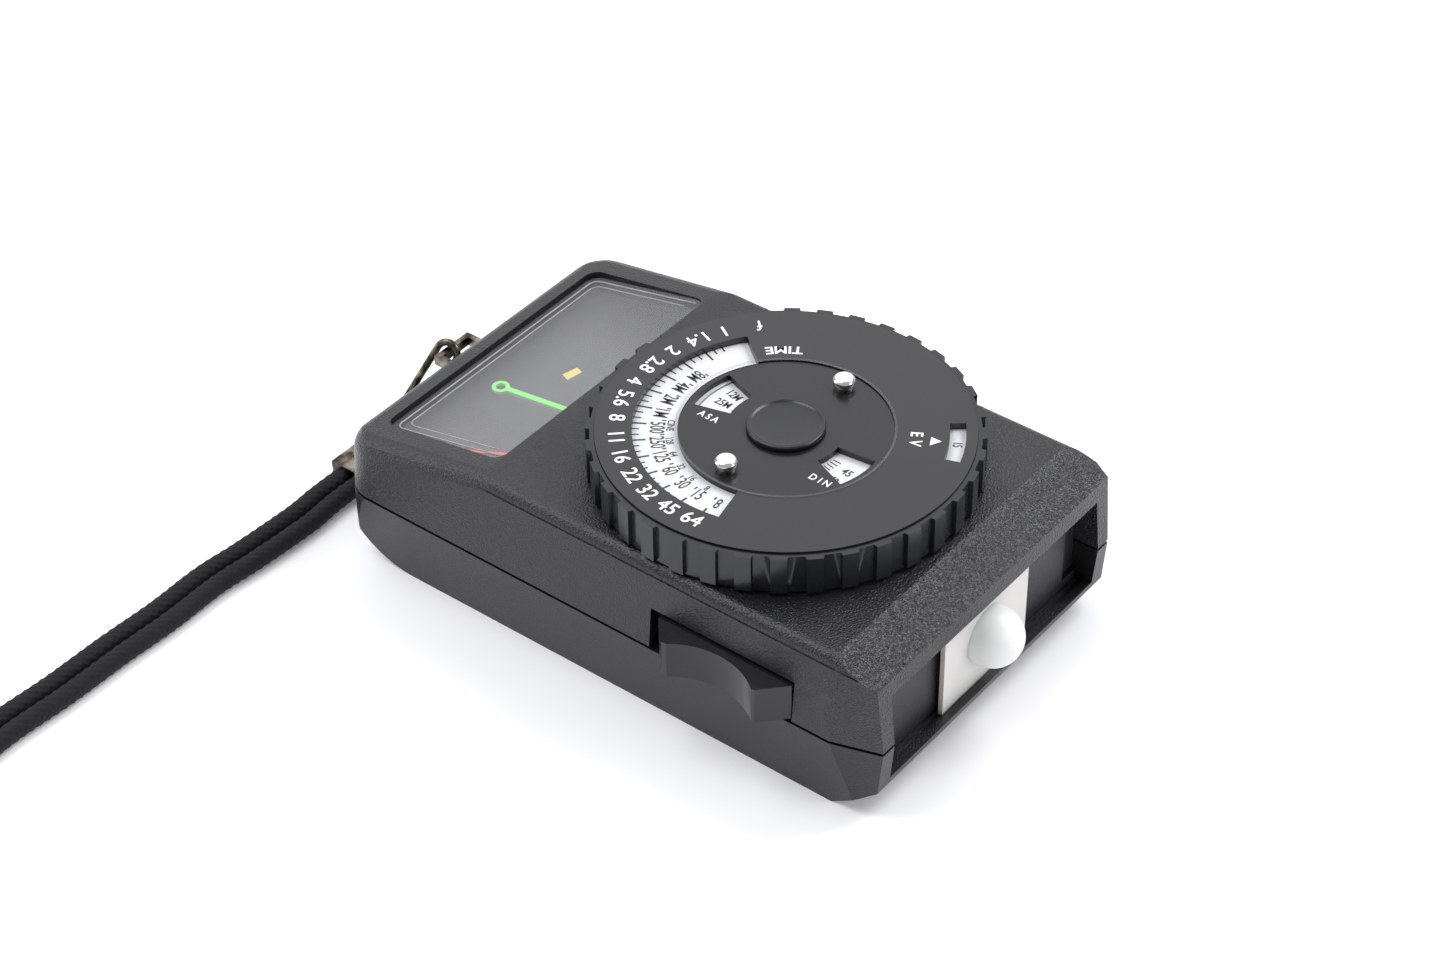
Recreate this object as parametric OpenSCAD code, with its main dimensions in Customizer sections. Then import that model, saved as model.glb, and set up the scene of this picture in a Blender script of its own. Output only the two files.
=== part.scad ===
// Handheld exposure meter, lying on its back with the reading face up.
// +Z is out of the reading face, +Y points to the light sensor end, +X to the thumb switch.
// The origin is on the back face, on the axis of the calculator dial.

/* [Body] */
// Width across the front face ridges
front_w = 60; // [52:0.5:72]
// Width at the seam between the two covers
body_w = 62.8; // [54:0.1:76]
// Width across the back face
back_w = 59.8; // [52:0.1:73]
// Height of the front face above the back face
body_h = 27.6; // [25:0.1:33.5]
// Height of the seam between the two covers
split_z = 13.1; // [12.6:0.1:14]
// Open width of the seam
split_gap = 0.5; // [0.2:0.1:0.8]
// Wall thickness of both covers
wall = 1.8; // [1.4:0.1:2.2]
// Distance from the dial axis to the window end
window_reach = 62.4; // [60:0.1:75]
// Distance from the dial axis to the sensor end
sensor_reach = 38.9; // [37.5:0.1:47]
// Radius of the two plan corners at the window end
corner_r = 6; // [3:0.5:8]
// Radius of the back's sweep up to the window end
keel_r = 13; // [10:0.5:14]
// Rounding of the long ridges
ridge_r = 1.8; // [0.8:0.1:2.4]
// Rounding of the rim round the window end
rim_r = 3; // [1.5:0.1:3.6]

/* [Window] */
// Clear width of the window recess
window_w = 49.8; // [44:0.1:51]
// Length of the window recess
window_l = 23.2; // [21:0.1:25]
// Thickness of the clear window
pane_t = 1; // [0.8:0.1:1.2]
// Depth of the pane below the rim at the window end
pane_sink = 1.2; // [0.8:0.1:1.5]
// Ledge that the pane rests on
pane_ledge = 1.1; // [0.8:0.1:1.5]

/* [Dial] */
// Radius over the ribs of the grip ring
grip_r = 29.5; // [27:0.1:30.5]
// Depth of a grip rib
rib_d = 0.7; // [0.4:0.1:0.9]
// Number of grip ribs
rib_n = 36; // [24:1:48]
// Height of the printed dial face above the front face
dial_h = 7.1; // [6.6:0.1:9]
// Radius of the black printed exposure disc
disc_r = 28.1; // [26:0.1:28.3]
// Radius of the film speed disc
speed_r = 15.9; // [13:0.1:17]
// Radius of the centre cap
cap_r = 5.9; // [4.5:0.1:6.4]
// Radius of the fixed dial post
post_r = 3; // [2.5:0.1:3.4]
// Radial clearance of a turning fit
run_gap = 0.05; // [0.02:0.01:0.1]

/* [Sensor end] */
// Width of the sensor recess
recess_w = 52.4; // [44:0.1:53]
// Width of the white diffuser plate
diffuser_w = 21.2; // [17:0.1:24]
// Radius of the diffuser dome
dome_r = 4.7; // [3.5:0.1:5.2]

/* [Thumb switch] */
// Length of the slot in the side wall
slot_l = 25.8; // [21:0.1:28]
// How far the thumb switch stands out of the side wall
switch_out = 3.5; // [2:0.1:4.5]
// Travel of the thumb switch
switch_travel = 1.5; // [1:0.1:2]

/* [Battery] */
// Diameter of the battery
cell_d = 13; // [10.8:0.1:13.4]
// Length of the battery
cell_l = 25.2; // [22:0.1:28]

/* [Strap] */
// Diameter of the braided cord
cord_d = 3.2; // [2.6:0.1:3.4]
// Diameter of the strap link's wire
link_wire = 1.2; // [0.9:0.1:1.4]

/* [Hidden] */
$fn = 72;

// Overshoot of a cut past the face it opens
eps = 0.5;
// Gap between pieces that are assembled side by side
fit = 0.1;
// Size of a block that is larger than the whole body
big = 400;

// Shape of the covers, along Y
ramp_run = 7.3;
ramp_drop = 2.8;
ramp_out = sensor_reach - 1.1;
ramp_in = ramp_out - ramp_run;
heel_run = 7.4;
heel_rise = 5.3;
heel_out = sensor_reach - 0.7;
chamfer_in = 2.5;
chamfer_run = 7.8;
window_end = -window_reach;
brow_y = window_end + 28;
brow_slope = 0.185;
rim_sides = 52;

// Window pane, which slopes down from the brow to the window end
pane_y0 = window_end + 4.8;
pane_y1 = pane_y0 + window_l;
rim_z0 = body_h - brow_slope * (brow_y - pane_y0);
pane_z0 = rim_z0 - pane_sink;
pane_z1 = body_h - 0.25;
pane_slope = (pane_z1 - pane_z0) / window_l;
pane_corner_r = 2;
plate_z = 16.6;
plate_t = 0.6;

// Sensor end
block_y = sensor_reach - 5.1;
block_t = 1.6;
recess_z0 = 6.4;
recess_z1 = body_h - 5.6;
groove_d = 0.4;
diffuser_x = 0.5;
diffuser_t = 0.8;
diffuser_y = sensor_reach - 2.1;
dome_z = 14.6;
dome_reach = 1.2;
cell_r = 3.2;
filter_t = 0.8;

// Thumb switch
slot_y0 = -1.1;
slot_z1 = split_z + 7.2;
switch_y0 = slot_y0 + switch_travel + 0.4;
switch_y1 = slot_y0 + slot_l - 0.3;
switch_z0 = split_z + 0.4;
switch_z1 = slot_z1 - 0.5;
switch_x0 = body_w / 2 - 3.5;
switch_x1 = body_w / 2 + switch_out;
shoe_t = 1.6;
saddle_sag = 2.6;

// Dial stack, from the front face up
ring_z0 = body_h + 0.3;
floor_t = 1.2;
dial_z = body_h + dial_h;
ring_z1 = dial_z - 0.3;
ring_r = grip_r - rib_d;
ring_in_r = disc_r - 0.6;
disc_t = 1.1;
scale_t = 0.9;
scale_z = dial_z - disc_t - fit - scale_t;
speed_z1 = dial_z - 0.2;
speed_z0 = scale_z + scale_t;
scale_seat_r = speed_r - 1.3;
sleeve_r = post_r + 2;
spigot_r = 1.8;
cap_z = speed_z1 + fit;
cap_t = 0.8;
pin_r = 1.7;
pin_out = 2;
pin_at = speed_r - 3;
pin_turn = -5;
arc_r = 22.6;
arc_from = -128;
arc_to = 12;
ev_r0 = 24;
ev_r1 = 26.4;
ev_at = 119;
ev_half = 10;
asa_at = -92;
asa_half = 17;
din_at = 82;
din_half = 14;
speed_win_r0 = 8.8;
speed_win_r1 = speed_r - 0.8;

// Gear train from the dial to the follow pointer
gear_m = 0.5;
dial_teeth = 26;
idler_teeth = 48;
pinion_teeth = 14;
sector_teeth = 44;
meter_y = -10;
mesh_a = gear_m * (dial_teeth + idler_teeth) / 2;
mesh_b = gear_m * (pinion_teeth + sector_teeth) / 2;
idler_y = (meter_y * meter_y + mesh_a * mesh_a - mesh_b * mesh_b) / (2 * meter_y);
idler_x = -sqrt(mesh_a * mesh_a - idler_y * idler_y);
gear_t = 1.2;
gear_z = body_h - wall - 0.9 - gear_t;
pinion_t = 1.3;
pinion_z = gear_z - pinion_t - 0.3;
axle_r = 1;
pointer_t = 0.5;
pointer_z = pinion_z - pointer_t;
pointer_len = 41;
pointer_rest = 8.7;
pointer_bore = 1.5;
pivot_boss_r = pointer_bore + 0.5;

axle_top = body_h - wall - 0.3;

// Meter movement, mechanism plate and circuit board
chassis_t = 1.1;
chassis_z = pointer_z - 1.3 - chassis_t;
needle_z = pointer_z - 0.9;
needle_t = 0.3;
needle_rest = 30;
needle_len = 46;
yoke_z = 9.2;
yoke_h = 6.3;
yoke_r = 11;
yoke_t = 2;
core_r = 5.5;
coil_r = 8;
coil_t = 0.8;
coil_w = 3;
staff_r = 0.5;
board_z = 4.6;
board_t = 1.2;
board_x = 20;
board_y0 = -27;
board_y1 = 26;

// Screws and their posts
shell_screw_at = [[-22, 30], [22, 30], [-25.4, -31], [25.4, -31]];
plate_screw_at = [[-15, 11], [15, 11], [15, -17]];
post_d = 5.4;
screw_r = 1.1;
screw_head_r = 2.2;
screw_head_t = 1.4;
small_screw_r = 0.8;
small_head_r = 1.6;

// Battery box
cell_y = -41;
cell_z = 2.3 + cell_d / 2;
bay_gap = 0.3;
contact_t = 0.5;
contact_room = 2.1;
bay_l = cell_l + 2 * contact_room;
door_w = bay_l + 4;
door_t = 1.4;
door_y0 = window_end + 9;
door_y1 = cell_y + cell_d / 2 + 2.2;
rail_d = 0.8;

// Strap
lug_z = 17.6;
lug_w = 8;
lug_out = 4.2;
lug_wall = 1;
lug_t = 1.6;
link_r = 1.9;
link_from = [1.6, window_end - lug_out + lug_wall / 2, lug_z + lug_t / 2];
clasp_x0 = 14;
clasp_l = 6;
clasp_y = window_end - 9.1;
clasp_w = 8;
clasp_h = 3.8;
tongue_l = 5;
tongue_t = 1.2;
tongue_z = 2.4;
link_to = [clasp_x0 - tongue_l / 2, clasp_y, tongue_z];
cord_route = [[20, -69.8, 1.8], [26, -69.8, 1.8], [32, -69.5, 1.7], [43, -70, 1.7], [51, -70.7, 1.7],
    [61, -70.5, 1.7], [71, -70.9, 1.7], [82, -71, 1.7], [93, -71.6, 1.7], [105, -71, 1.7],
    [118, -69, 1.7], [130, -66, 1.7], [140, -64, 1.7], [148, -64.5, 1.7], [154, -68, 1.7],
    [156, -73, 1.7], [153, -78, 1.7], [147, -80.5, 1.7], [139, -80, 1.7], [130, -78.5, 1.7],
    [118, -76, 1.7], [105, -74.8, 1.7], [93, -75.1, 1.7], [82, -74.5, 1.7], [71, -74.4, 1.7],
    [61, -74, 1.7], [51, -74.2, 1.7], [43, -73.5, 1.7], [32, -73, 1.7], [26, -73.2, 1.8],
    [20, -73.2, 1.8]];
cord_sides = 8;
ring_gap = 6;

// Height of the pane's top face at y
function pane_z(y) = pane_z0 + (y - pane_y0) * pane_slope;

// Point at radius r and angle a
function polar(r, a) = [r * cos(a), r * sin(a)];

// Waste outside a rounded top right corner of radius r at the origin
module corner_waste(r) {
    difference() {
        translate([-r, -r]) square(r + eps);
        translate([-r, -r]) circle(r);
    }
}

// Cross-section of the covers, inset by g, with X to the right and Z up
module cross_section(g) {
    r = max(ridge_r - g, 0.3);
    difference() {
        polygon([[back_w / 2 - g, g], [body_w / 2 - g, split_z], [front_w / 2 - g, body_h - g],
            [g - front_w / 2, body_h - g], [g - body_w / 2, split_z], [g - back_w / 2, g]]);
        for (side = [0, 1])
            mirror([side, 0])
                translate([front_w / 2 - g, body_h - g])
                    corner_waste(r);
    }
}

// Lengthways outline of the covers, inset by g, with Y to the right and Z up
module long_section(g) {
    brow_z = body_h - brow_slope * (brow_y - window_end) - g;
    difference() {
        polygon([[window_end + g, g], [heel_out - heel_run, g], [heel_out - g, heel_rise],
            [sensor_reach - g, split_z], [ramp_out - g, body_h - ramp_drop - g],
            [ramp_in, body_h - g], [brow_y, body_h - g], [window_end + g, brow_z]]);
        translate([window_end + g, brow_z])
            mirror([1, 0])
                corner_waste(max(rim_r - g, 0.5));
        translate([window_end + g, g])
            rotate(180)
                corner_waste(keel_r - g);
    }
}

// Plan outline of the covers, inset by g
module plan_section(g) {
    w = body_w / 2 - g;
    difference() {
        polygon([[-w, window_end + g], [w, window_end + g], [w, sensor_reach - chamfer_run],
            [w - chamfer_in, sensor_reach - g], [chamfer_in - w, sensor_reach - g],
            [-w, sensor_reach - chamfer_run]]);
        for (side = [0, 1])
            mirror([side, 0])
                translate([w, window_end + g])
                    mirror([0, 1])
                        corner_waste(corner_r - g);
    }
}

// Half width of the front cover's slanted side wall at height z
function side_x(z) = body_w / 2 - (body_w - front_w) / 2 * (z - split_z) / (body_h - split_z);

// Body with a soft rim round its window end, inset by g, which follows the slope of the brow
module soft_rim(g) {
    r = max(rim_r - g, 0.5);
    ring_r = corner_r - g - r;
    foot_z = -big / 4;
    far_y = sensor_reach + corner_r;
    multmatrix([[1, 0, 0, 0], [0, 1, 0, 0], [0, brow_slope, 1, 0], [0, 0, 0, 1]]) hull()
        for (side = [-1, 1], y = [window_end + corner_r, far_y]) {
            top = body_h - brow_slope * brow_y - g - r;
            translate([side * (side_x(top + brow_slope * y) - corner_r), y, top])
                rotate_extrude($fn = rim_sides) translate([ring_r, 0]) circle(r, $fn = rim_sides / 2);
            translate([side * (side_x(foot_z + brow_slope * y) - corner_r), y, foot_z])
                cylinder(r = corner_r - g, h = eps, $fn = rim_sides);
        }
}

// Solid bounded by both covers, inset by g
module envelope(g) {
    intersection() {
        soft_rim(g);
        rotate([90, 0, 0]) linear_extrude(big, center = true) cross_section(g);
        rotate([90, 0, 90]) linear_extrude(big, center = true) long_section(g);
        linear_extrude(big, center = true) plan_section(g);
    }
}

// Block from corner a to corner b
module block(a, b) {
    translate(a) cube(b - a);
}

// Everything between heights z0 and z1
module slice(z0, z1) {
    block([-big / 2, -big / 2, z0], [big / 2, big / 2, z1]);
}

// Prism across the body whose outline is given in Y and Z
module cross_prism(half_w, outline) {
    rotate([90, 0, 90]) linear_extrude(2 * half_w, center = true) polygon(outline);
}

// Upright rod at [x, y]
module rod(at, r, z0, z1) {
    translate([at[0], at[1], z0]) cylinder(r = r, h = z1 - z0);
}

// Rectangle of the pane, drawn in by g
module pane_outline(g) {
    w = window_w / 2 - g;
    difference() {
        translate([-w, pane_y0 + g]) square([2 * w, window_l - 2 * g]);
        for (side = [0, 1])
            mirror([side, 0]) {
                translate([w, pane_y0 + g])
                    mirror([0, 1])
                        corner_waste(pane_corner_r);
                translate([w, pane_y1 - g])
                    corner_waste(pane_corner_r);
            }
    }
}

// Sloping slab between two depths below the pane's top face
module pane_slab(top, bottom) {
    y0 = window_end - eps;
    y1 = brow_y + 3;
    cross_prism(big / 2, [[y0, pane_z(y0) - bottom], [y1, pane_z(y1) - bottom],
        [y1, pane_z(y1) - top], [y0, pane_z(y0) - top]]);
}

// Room for the pane and the view below it
module window_cut() {
    intersection() {
        linear_extrude(big) pane_outline(0);
        pane_slab(-10, pane_t);
    }
    intersection() {
        linear_extrude(big) pane_outline(pane_ledge);
        pane_slab(0, 10);
    }
}

// Frame that carries the pane inside the front cover
module window_frame() {
    intersection() {
        envelope(wall / 2);
        pane_slab(-10, pane_t + 1.3);
        block([-big / 2, window_end, split_z], [big / 2, brow_y + 1.4, big]);
    }
}

// Solid ring round the sensor recess
module sensor_frame() {
    intersection() {
        envelope(wall / 2);
        block([-big / 2, block_y, 0], [big / 2, big, big]);
    }
}

// Recess at the sensor end with the two grooves of the diffuser plate
module sensor_cut() {
    block([-recess_w / 2, block_y - eps, recess_z0], [recess_w / 2, sensor_reach + eps, recess_z1]);
    block([-recess_w / 2, diffuser_y - diffuser_t - fit, recess_z0 - groove_d],
        [recess_w / 2, diffuser_y + fit, recess_z1 + groove_d]);
}

// Slot of the thumb switch, open at the seam
module switch_slot() {
    block([body_w / 2 - 5.4, slot_y0, split_z - eps], [big / 2, slot_y0 + slot_l, slot_z1]);
}

// Sector of a ring, from angle a0 to a1
module ring_sector(r0, r1, a0, a1) {
    reach = r1 / cos((a1 - a0) / 4) + 1;
    difference() {
        intersection() {
            circle(r1);
            polygon([[0, 0], polar(reach, a0), polar(reach, (3 * a0 + a1) / 4),
                polar(reach, (a0 + a1) / 2), polar(reach, (a0 + 3 * a1) / 4), polar(reach, a1)]);
        }
        circle(r0);
    }
}

// Toothed outline with one tooth on the +X axis
module gear_outline(teeth) {
    r = gear_m * teeth / 2;
    root = r - 0.6 * gear_m;
    tip = r + 0.5 * gear_m;
    base_a = 0.26 * 360 / teeth;
    tip_a = 0.13 * 360 / teeth;
    circle(root);
    for (i = [0:teeth - 1])
        rotate(i * 360 / teeth)
            polygon([polar(root - 0.3, -base_a), polar(tip, -tip_a), polar(tip, tip_a),
                polar(root - 0.3, base_a)]);
}

// Front half of the body, with the window frame, posts and dial bore
module front_cover() {
    color("#202225") difference() {
        union() {
            difference() {
                intersection() {
                    envelope(0);
                    slice(split_z + split_gap / 2, big);
                }
                difference() {
                    envelope(wall);
                    sensor_frame();
                    window_frame();
                }
            }
            intersection() {
                envelope(wall / 2);
                union() {
                    for (at = shell_screw_at)
                        rod(at, post_d / 2, split_z + split_gap / 2, body_h);
                    for (at = plate_screw_at)
                        rod(at, post_d / 2 - 0.5, chassis_z + chassis_t, body_h);
                    rod([0, meter_y], pivot_boss_r, pointer_z + pointer_t + pinion_t + fit, body_h);
                }
            }
        }
        seam_rebate();
        window_cut();
        sensor_cut();
        switch_slot();
        rod([0, 0], sleeve_r + run_gap, split_z, body_h + eps);
        for (at = shell_screw_at)
            rod(at, screw_r, split_z, split_z + 9);
        for (at = plate_screw_at)
            rod(at, small_screw_r, split_z, chassis_z + 4.5);
        rod([0, meter_y], pointer_bore, split_z, body_h - wall);
        rod([idler_x, idler_y], axle_r, split_z, axle_top);
        lug_room();
    }
}

// Step inside the front cover's edge that takes the rear cover's lip
module seam_rebate() {
    intersection() {
        difference() {
            envelope(wall / 2);
            envelope(wall + eps);
        }
        slice(0, split_z + 1.3);
        block([-big / 2, -big / 2, 0], [big / 2, block_y - 1, big]);
    }
}

// Back half of the body, with its lip, screw posts and battery box
module rear_cover() {
    color("#26272a") difference() {
        union() {
            difference() {
                intersection() {
                    envelope(0);
                    slice(0, split_z - split_gap / 2);
                }
                difference() {
                    envelope(wall);
                    sensor_frame();
                }
            }
            seam_lip();
            battery_box();
            for (at = shell_screw_at)
                rod(at, post_d / 2, wall / 2, split_z - split_gap / 2);
            for (x = [-board_x + 3, board_x - 3], y = [board_y0 + 3, board_y1 - 3])
                rod([x, y], 1.6, wall / 2, board_z);
        }
        sensor_cut();
        for (at = shell_screw_at) {
            rod(at, screw_r + fit, -eps, split_z);
            rod(at, screw_head_r + fit, -eps, screw_head_t + 0.4);
        }
        battery_bay();
        door_room();
    }
}

// Lip that stands up inside the front cover's edge
module seam_lip() {
    intersection() {
        difference() {
            envelope(wall / 2 + fit);
            envelope(wall);
        }
        slice(split_z - 2, split_z + 1.2);
        union() {
            block([-big / 2, -big / 2, 0], [big / 2, slot_y0 - 1, big]);
            block([-big / 2, -big / 2, 0], [0, block_y - 1.2, big]);
            block([-big / 2, slot_y0 + slot_l + 1, 0], [big / 2, block_y - 1.2, big]);
        }
    }
}

// Walls of the battery box on the floor of the rear cover
module battery_box() {
    r = cell_d / 2 + bay_gap;
    intersection() {
        envelope(wall / 2);
        block([-bay_l / 2 - 1.2, cell_y - r - 1.2, 0], [bay_l / 2 + 1.2, cell_y + r + 1.2, cell_z]);
    }
}

// Room for the battery and its contacts, open at the back
module battery_bay() {
    r = cell_d / 2 + bay_gap;
    block([-bay_l / 2, cell_y - r, door_t + fit / 2], [bay_l / 2, cell_y + r, split_z]);
}

// Recess of the battery door with a rail groove on each side
module door_room() {
    block([-door_w / 2 - fit, window_end - eps, -eps], [door_w / 2 + fit, door_y1 + fit, door_t]);
    block([-door_w / 2 - rail_d - fit, window_end - eps, door_t / 2 - fit / 2],
        [door_w / 2 + rail_d + fit, door_y1 + fit, door_t]);
}

// Four self-tapping screws from the back, which hold the covers together
module shell_screws() {
    color("#b9bcc0")
        for (at = shell_screw_at)
            difference() {
                union() {
                    rod(at, screw_r, 0.4, split_z + 8);
                    rod(at, screw_head_r, 0.4, 0.4 + screw_head_t);
                }
                for (turn = [0, 90])
                    translate([at[0], at[1], 0.4])
                        rotate(turn)
                            cube([screw_head_r * 1.3, 0.5, 1], center = true);
            }
}

// Clear pane over the needles
module window() {
    color("#dfe6ea55") intersection() {
        linear_extrude(big) pane_outline(fit / 2);
        pane_slab(0, pane_t);
    }
}

// Grey plate below the needles, cut back round the meter movement
module scale_plate() {
    color("#77797c") difference() {
        intersection() {
            envelope(wall + fit);
            block([-big / 2, window_end, plate_z], [big / 2, brow_y + 4, plate_z + plate_t]);
        }
        for (at = shell_screw_at)
            rod(at, post_d / 2 + fit, 0, big);
        lug_room();
        rod([0, meter_y], yoke_r + 1, 0, big);
    }
}

// Matt black wall behind the recess, with the opening of the light sensor
module sensor_block() {
    color("#18191b") difference() {
        block([-recess_w / 2 + fit, block_y, recess_z0 + fit],
            [recess_w / 2 - fit, block_y + block_t, recess_z1 - fit]);
        translate([diffuser_x, block_y - eps, dome_z]) rotate([-90, 0, 0])
            cylinder(r = cell_r, h = block_t + 2 * eps);
        translate([diffuser_x, block_y - eps, dome_z]) rotate([-90, 0, 0])
            cylinder(r = cell_r + 1, h = filter_t + eps);
        block([-recess_w / 2 - eps, block_y + block_t / 2, recess_z0 + 1.5],
            [-recess_w / 2 + 4, block_y + block_t + eps, recess_z1 - 1.5]);
    }
}

// Silicon cell in its round can
module photocell() {
    color("#2b3350") translate([diffuser_x, block_y - 2, dome_z]) rotate([-90, 0, 0])
        cylinder(r = cell_r + 0.6, h = 2);
    color("#c8c8c8")
        for (dx = [-1.5, 1.5])
            translate([diffuser_x + dx, block_y - 5, dome_z]) rotate([-90, 0, 0])
                cylinder(r = 0.3, h = 3);
}

// Colour correction glass in front of the cell
module cell_filter() {
    color("#7fa3b0aa") translate([diffuser_x, block_y, dome_z]) rotate([-90, 0, 0])
        cylinder(r = cell_r + 0.95, h = filter_t);
}

// White plate that slides across the recess
module diffuser_plate() {
    color("#eef0f1") difference() {
        block([diffuser_x - diffuser_w / 2, diffuser_y - diffuser_t, recess_z0 - groove_d + fit],
            [diffuser_x + diffuser_w / 2, diffuser_y, recess_z1 + groove_d - fit]);
        translate([diffuser_x, diffuser_y - diffuser_t - eps, dome_z]) rotate([-90, 0, 0])
            cylinder(r = cell_r, h = diffuser_t + 2 * eps);
    }
}

// Hollow translucent dome on the plate
module diffuser_dome() {
    color("#f4f2ec") translate([diffuser_x, diffuser_y + dome_reach, dome_z])
        rotate([-90, 0, 0])
            difference() {
                union() {
                    sphere(dome_r);
                    translate([0, 0, -dome_reach]) cylinder(r = dome_r, h = dome_reach);
                }
                sphere(dome_r - 1);
                translate([0, 0, -big - dome_reach]) cylinder(r = big, h = big);
                translate([0, 0, -dome_reach - eps])
                    cylinder(r = dome_r - 1, h = dome_reach + eps);
            }
}

// Saddle-shaped thumb switch
module thumb_switch() {
    half = (switch_y1 - switch_y0) / 2;
    mid = switch_y0 + half;
    span = half - 4.2;
    arc_r = (span * span + saddle_sag * saddle_sag) / (2 * saddle_sag);
    color("#1f2124") translate([0, 0, switch_z0])
        linear_extrude(switch_z1 - switch_z0) difference() {
            polygon([[switch_x0, switch_y0], [body_w / 2, switch_y0], [switch_x1, switch_y0 + 3.3],
                [switch_x1, switch_y1 - 3.6], [body_w / 2 - 0.4, switch_y1],
                [switch_x0, switch_y1]]);
            translate([switch_x1 - saddle_sag + arc_r, mid]) circle(arc_r);
        }
}

// Carrier behind the switch that keeps it in its slot
module switch_shoe() {
    color("#5b5d60") block([switch_x0 - shoe_t, switch_y0 + 4, split_z + 1.8],
        [switch_x0, switch_y1 - 4, slot_z1 - 1.8]);
}

// Brass leaf on the circuit board that the carrier wipes
module switch_contact() {
    x = switch_x0 - shoe_t - 0.8;
    y = switch_y0 + 9;
    color("#c9a24a") union() {
        block([board_x - 5, y, board_z + board_t], [x, y + 4, board_z + board_t + 0.4]);
        block([x - 0.4, y, board_z + board_t], [x, y + 4, split_z + 4]);
    }
}

// Ribbed ring of the dial, moulded with its floor and its sleeve
module grip_ring() {
    color("#23262a") difference() {
        union() {
            rod([0, 0], ring_r, ring_z0, ring_z1);
            for (i = [0:rib_n - 1])
                rotate((i + 0.5) * 360 / rib_n)
                    translate([0, 0, ring_z0 + 0.3])
                        linear_extrude(ring_z1 - ring_z0 - 0.3)
                            polygon([polar(ring_r - 0.5, -2.9), polar(grip_r, -2.3), polar(grip_r, 2.3),
                                polar(ring_r - 0.5, 2.9)]);
            rod([0, 0], sleeve_r, gear_z - 0.2, ring_z0 + floor_t);
        }
        rod([0, 0], ring_in_r, ring_z0 + floor_t, dial_z);
        rod([0, 0], disc_r + 0.05, dial_z - disc_t, dial_z);
        rod([0, 0], post_r + run_gap, 0, dial_z);
    }
}

// Black printed disc that turns with the grip ring
module exposure_disc() {
    color("#1a1c1f") translate([0, 0, dial_z - disc_t]) linear_extrude(disc_t) difference() {
        circle(disc_r);
        circle(speed_r + fit);
        ring_sector(speed_r - 1, arc_r, arc_from, arc_to);
        ring_sector(ev_r0, ev_r1, ev_at - ev_half, ev_at + ev_half);
    }
}

// White scale of exposure times below the black disc
module time_scale() {
    color("#e6e8ea") translate([0, 0, scale_z]) linear_extrude(scale_t) difference() {
        circle(ring_in_r - 0.3);
        circle(scale_seat_r);
    }
}

// Black disc in the middle, with the two film speed windows
module speed_disc() {
    color("#1b1d20") translate([0, 0, speed_z0]) linear_extrude(speed_z1 - speed_z0) difference() {
        circle(speed_r);
        circle(post_r + run_gap);
        ring_sector(speed_win_r0, speed_win_r1, asa_at - asa_half, asa_at + asa_half);
        ring_sector(speed_win_r0, speed_win_r1, din_at - din_half, din_at + din_half);
    }
}

// Two polished pins that turn the film speed disc
module speed_pins() {
    color("#d7d3cc")
        for (half_turn = [0, 180])
            rotate(pin_turn + half_turn) translate([pin_at, 0, speed_z1]) {
                cylinder(r = pin_r, h = pin_out - 0.4);
                translate([0, 0, pin_out - 0.4]) cylinder(r = pin_r - 0.3, h = 0.4);
            }
}

// Fixed plate with the film speed numbers
module speed_scale() {
    color("#dfe2e4") translate([0, 0, scale_z]) linear_extrude(scale_t - fit) difference() {
        circle(scale_seat_r - 0.3);
        circle(post_r);
    }
}

// Dished cap on top of the dial post
module centre_cap() {
    dish_r = 26;
    color("#1d1f22") difference() {
        rod([0, 0], cap_r, cap_z, cap_z + cap_t);
        translate([0, 0, cap_z + cap_t - 0.35 + dish_r]) sphere(dish_r);
        rod([0, 0], spigot_r, cap_z - eps, cap_z + 0.3);
    }
}

// Fixed post that the dial turns on, riveted into the mechanism plate
module dial_post() {
    color("#c4c6c8") union() {
        rod([0, 0], post_r, chassis_z + chassis_t, cap_z);
        rod([0, 0], spigot_r, cap_z, cap_z + 0.3);
        rod([0, 0], post_r - 1, chassis_z - 0.3, chassis_z + chassis_t);
    }
}

// Gear pressed on the dial's sleeve
module dial_gear() {
    color("#c9a24a") translate([0, 0, gear_z]) linear_extrude(gear_t) difference() {
        rotate(atan2(idler_y, idler_x)) gear_outline(dial_teeth);
        circle(sleeve_r);
    }
}

// Large wheel of the reduction gear
module idler_gear() {
    mesh_turn = atan2(-idler_y, -idler_x) + 180 / idler_teeth;
    color("#c9a24a") translate([idler_x, idler_y, gear_z]) linear_extrude(gear_t) difference() {
        rotate(mesh_turn) gear_outline(idler_teeth);
        circle(axle_r + run_gap);
    }
}

// Small wheel under the large one
module idler_pinion() {
    mesh_turn = atan2(meter_y - idler_y, -idler_x);
    color("#b98f3c") difference() {
        union() {
            translate([idler_x, idler_y, pinion_z]) linear_extrude(pinion_t)
                rotate(mesh_turn) gear_outline(pinion_teeth);
            rod([idler_x, idler_y], 2, pinion_z + pinion_t, gear_z);
        }
        rod([idler_x, idler_y], axle_r + run_gap, 0, big);
    }
}

// Fixed axle of the reduction gear
module idler_axle() {
    color("#c4c6c8") rod([idler_x, idler_y], axle_r, chassis_z + chassis_t, axle_top);
}

// Toothed sector that swings the follow pointer
module pointer_sector() {
    to_idler = atan2(idler_y - meter_y, idler_x);
    color("#b98f3c") translate([0, meter_y, pinion_z]) linear_extrude(pinion_t - 0.2) difference() {
        union() {
            intersection() {
                rotate(to_idler + 180 / sector_teeth) gear_outline(sector_teeth);
                ring_sector(0.1, 14, to_idler - 44, to_idler + 44);
            }
            circle(3.4);
        }
        circle(pointer_bore + run_gap);
    }
}

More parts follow.
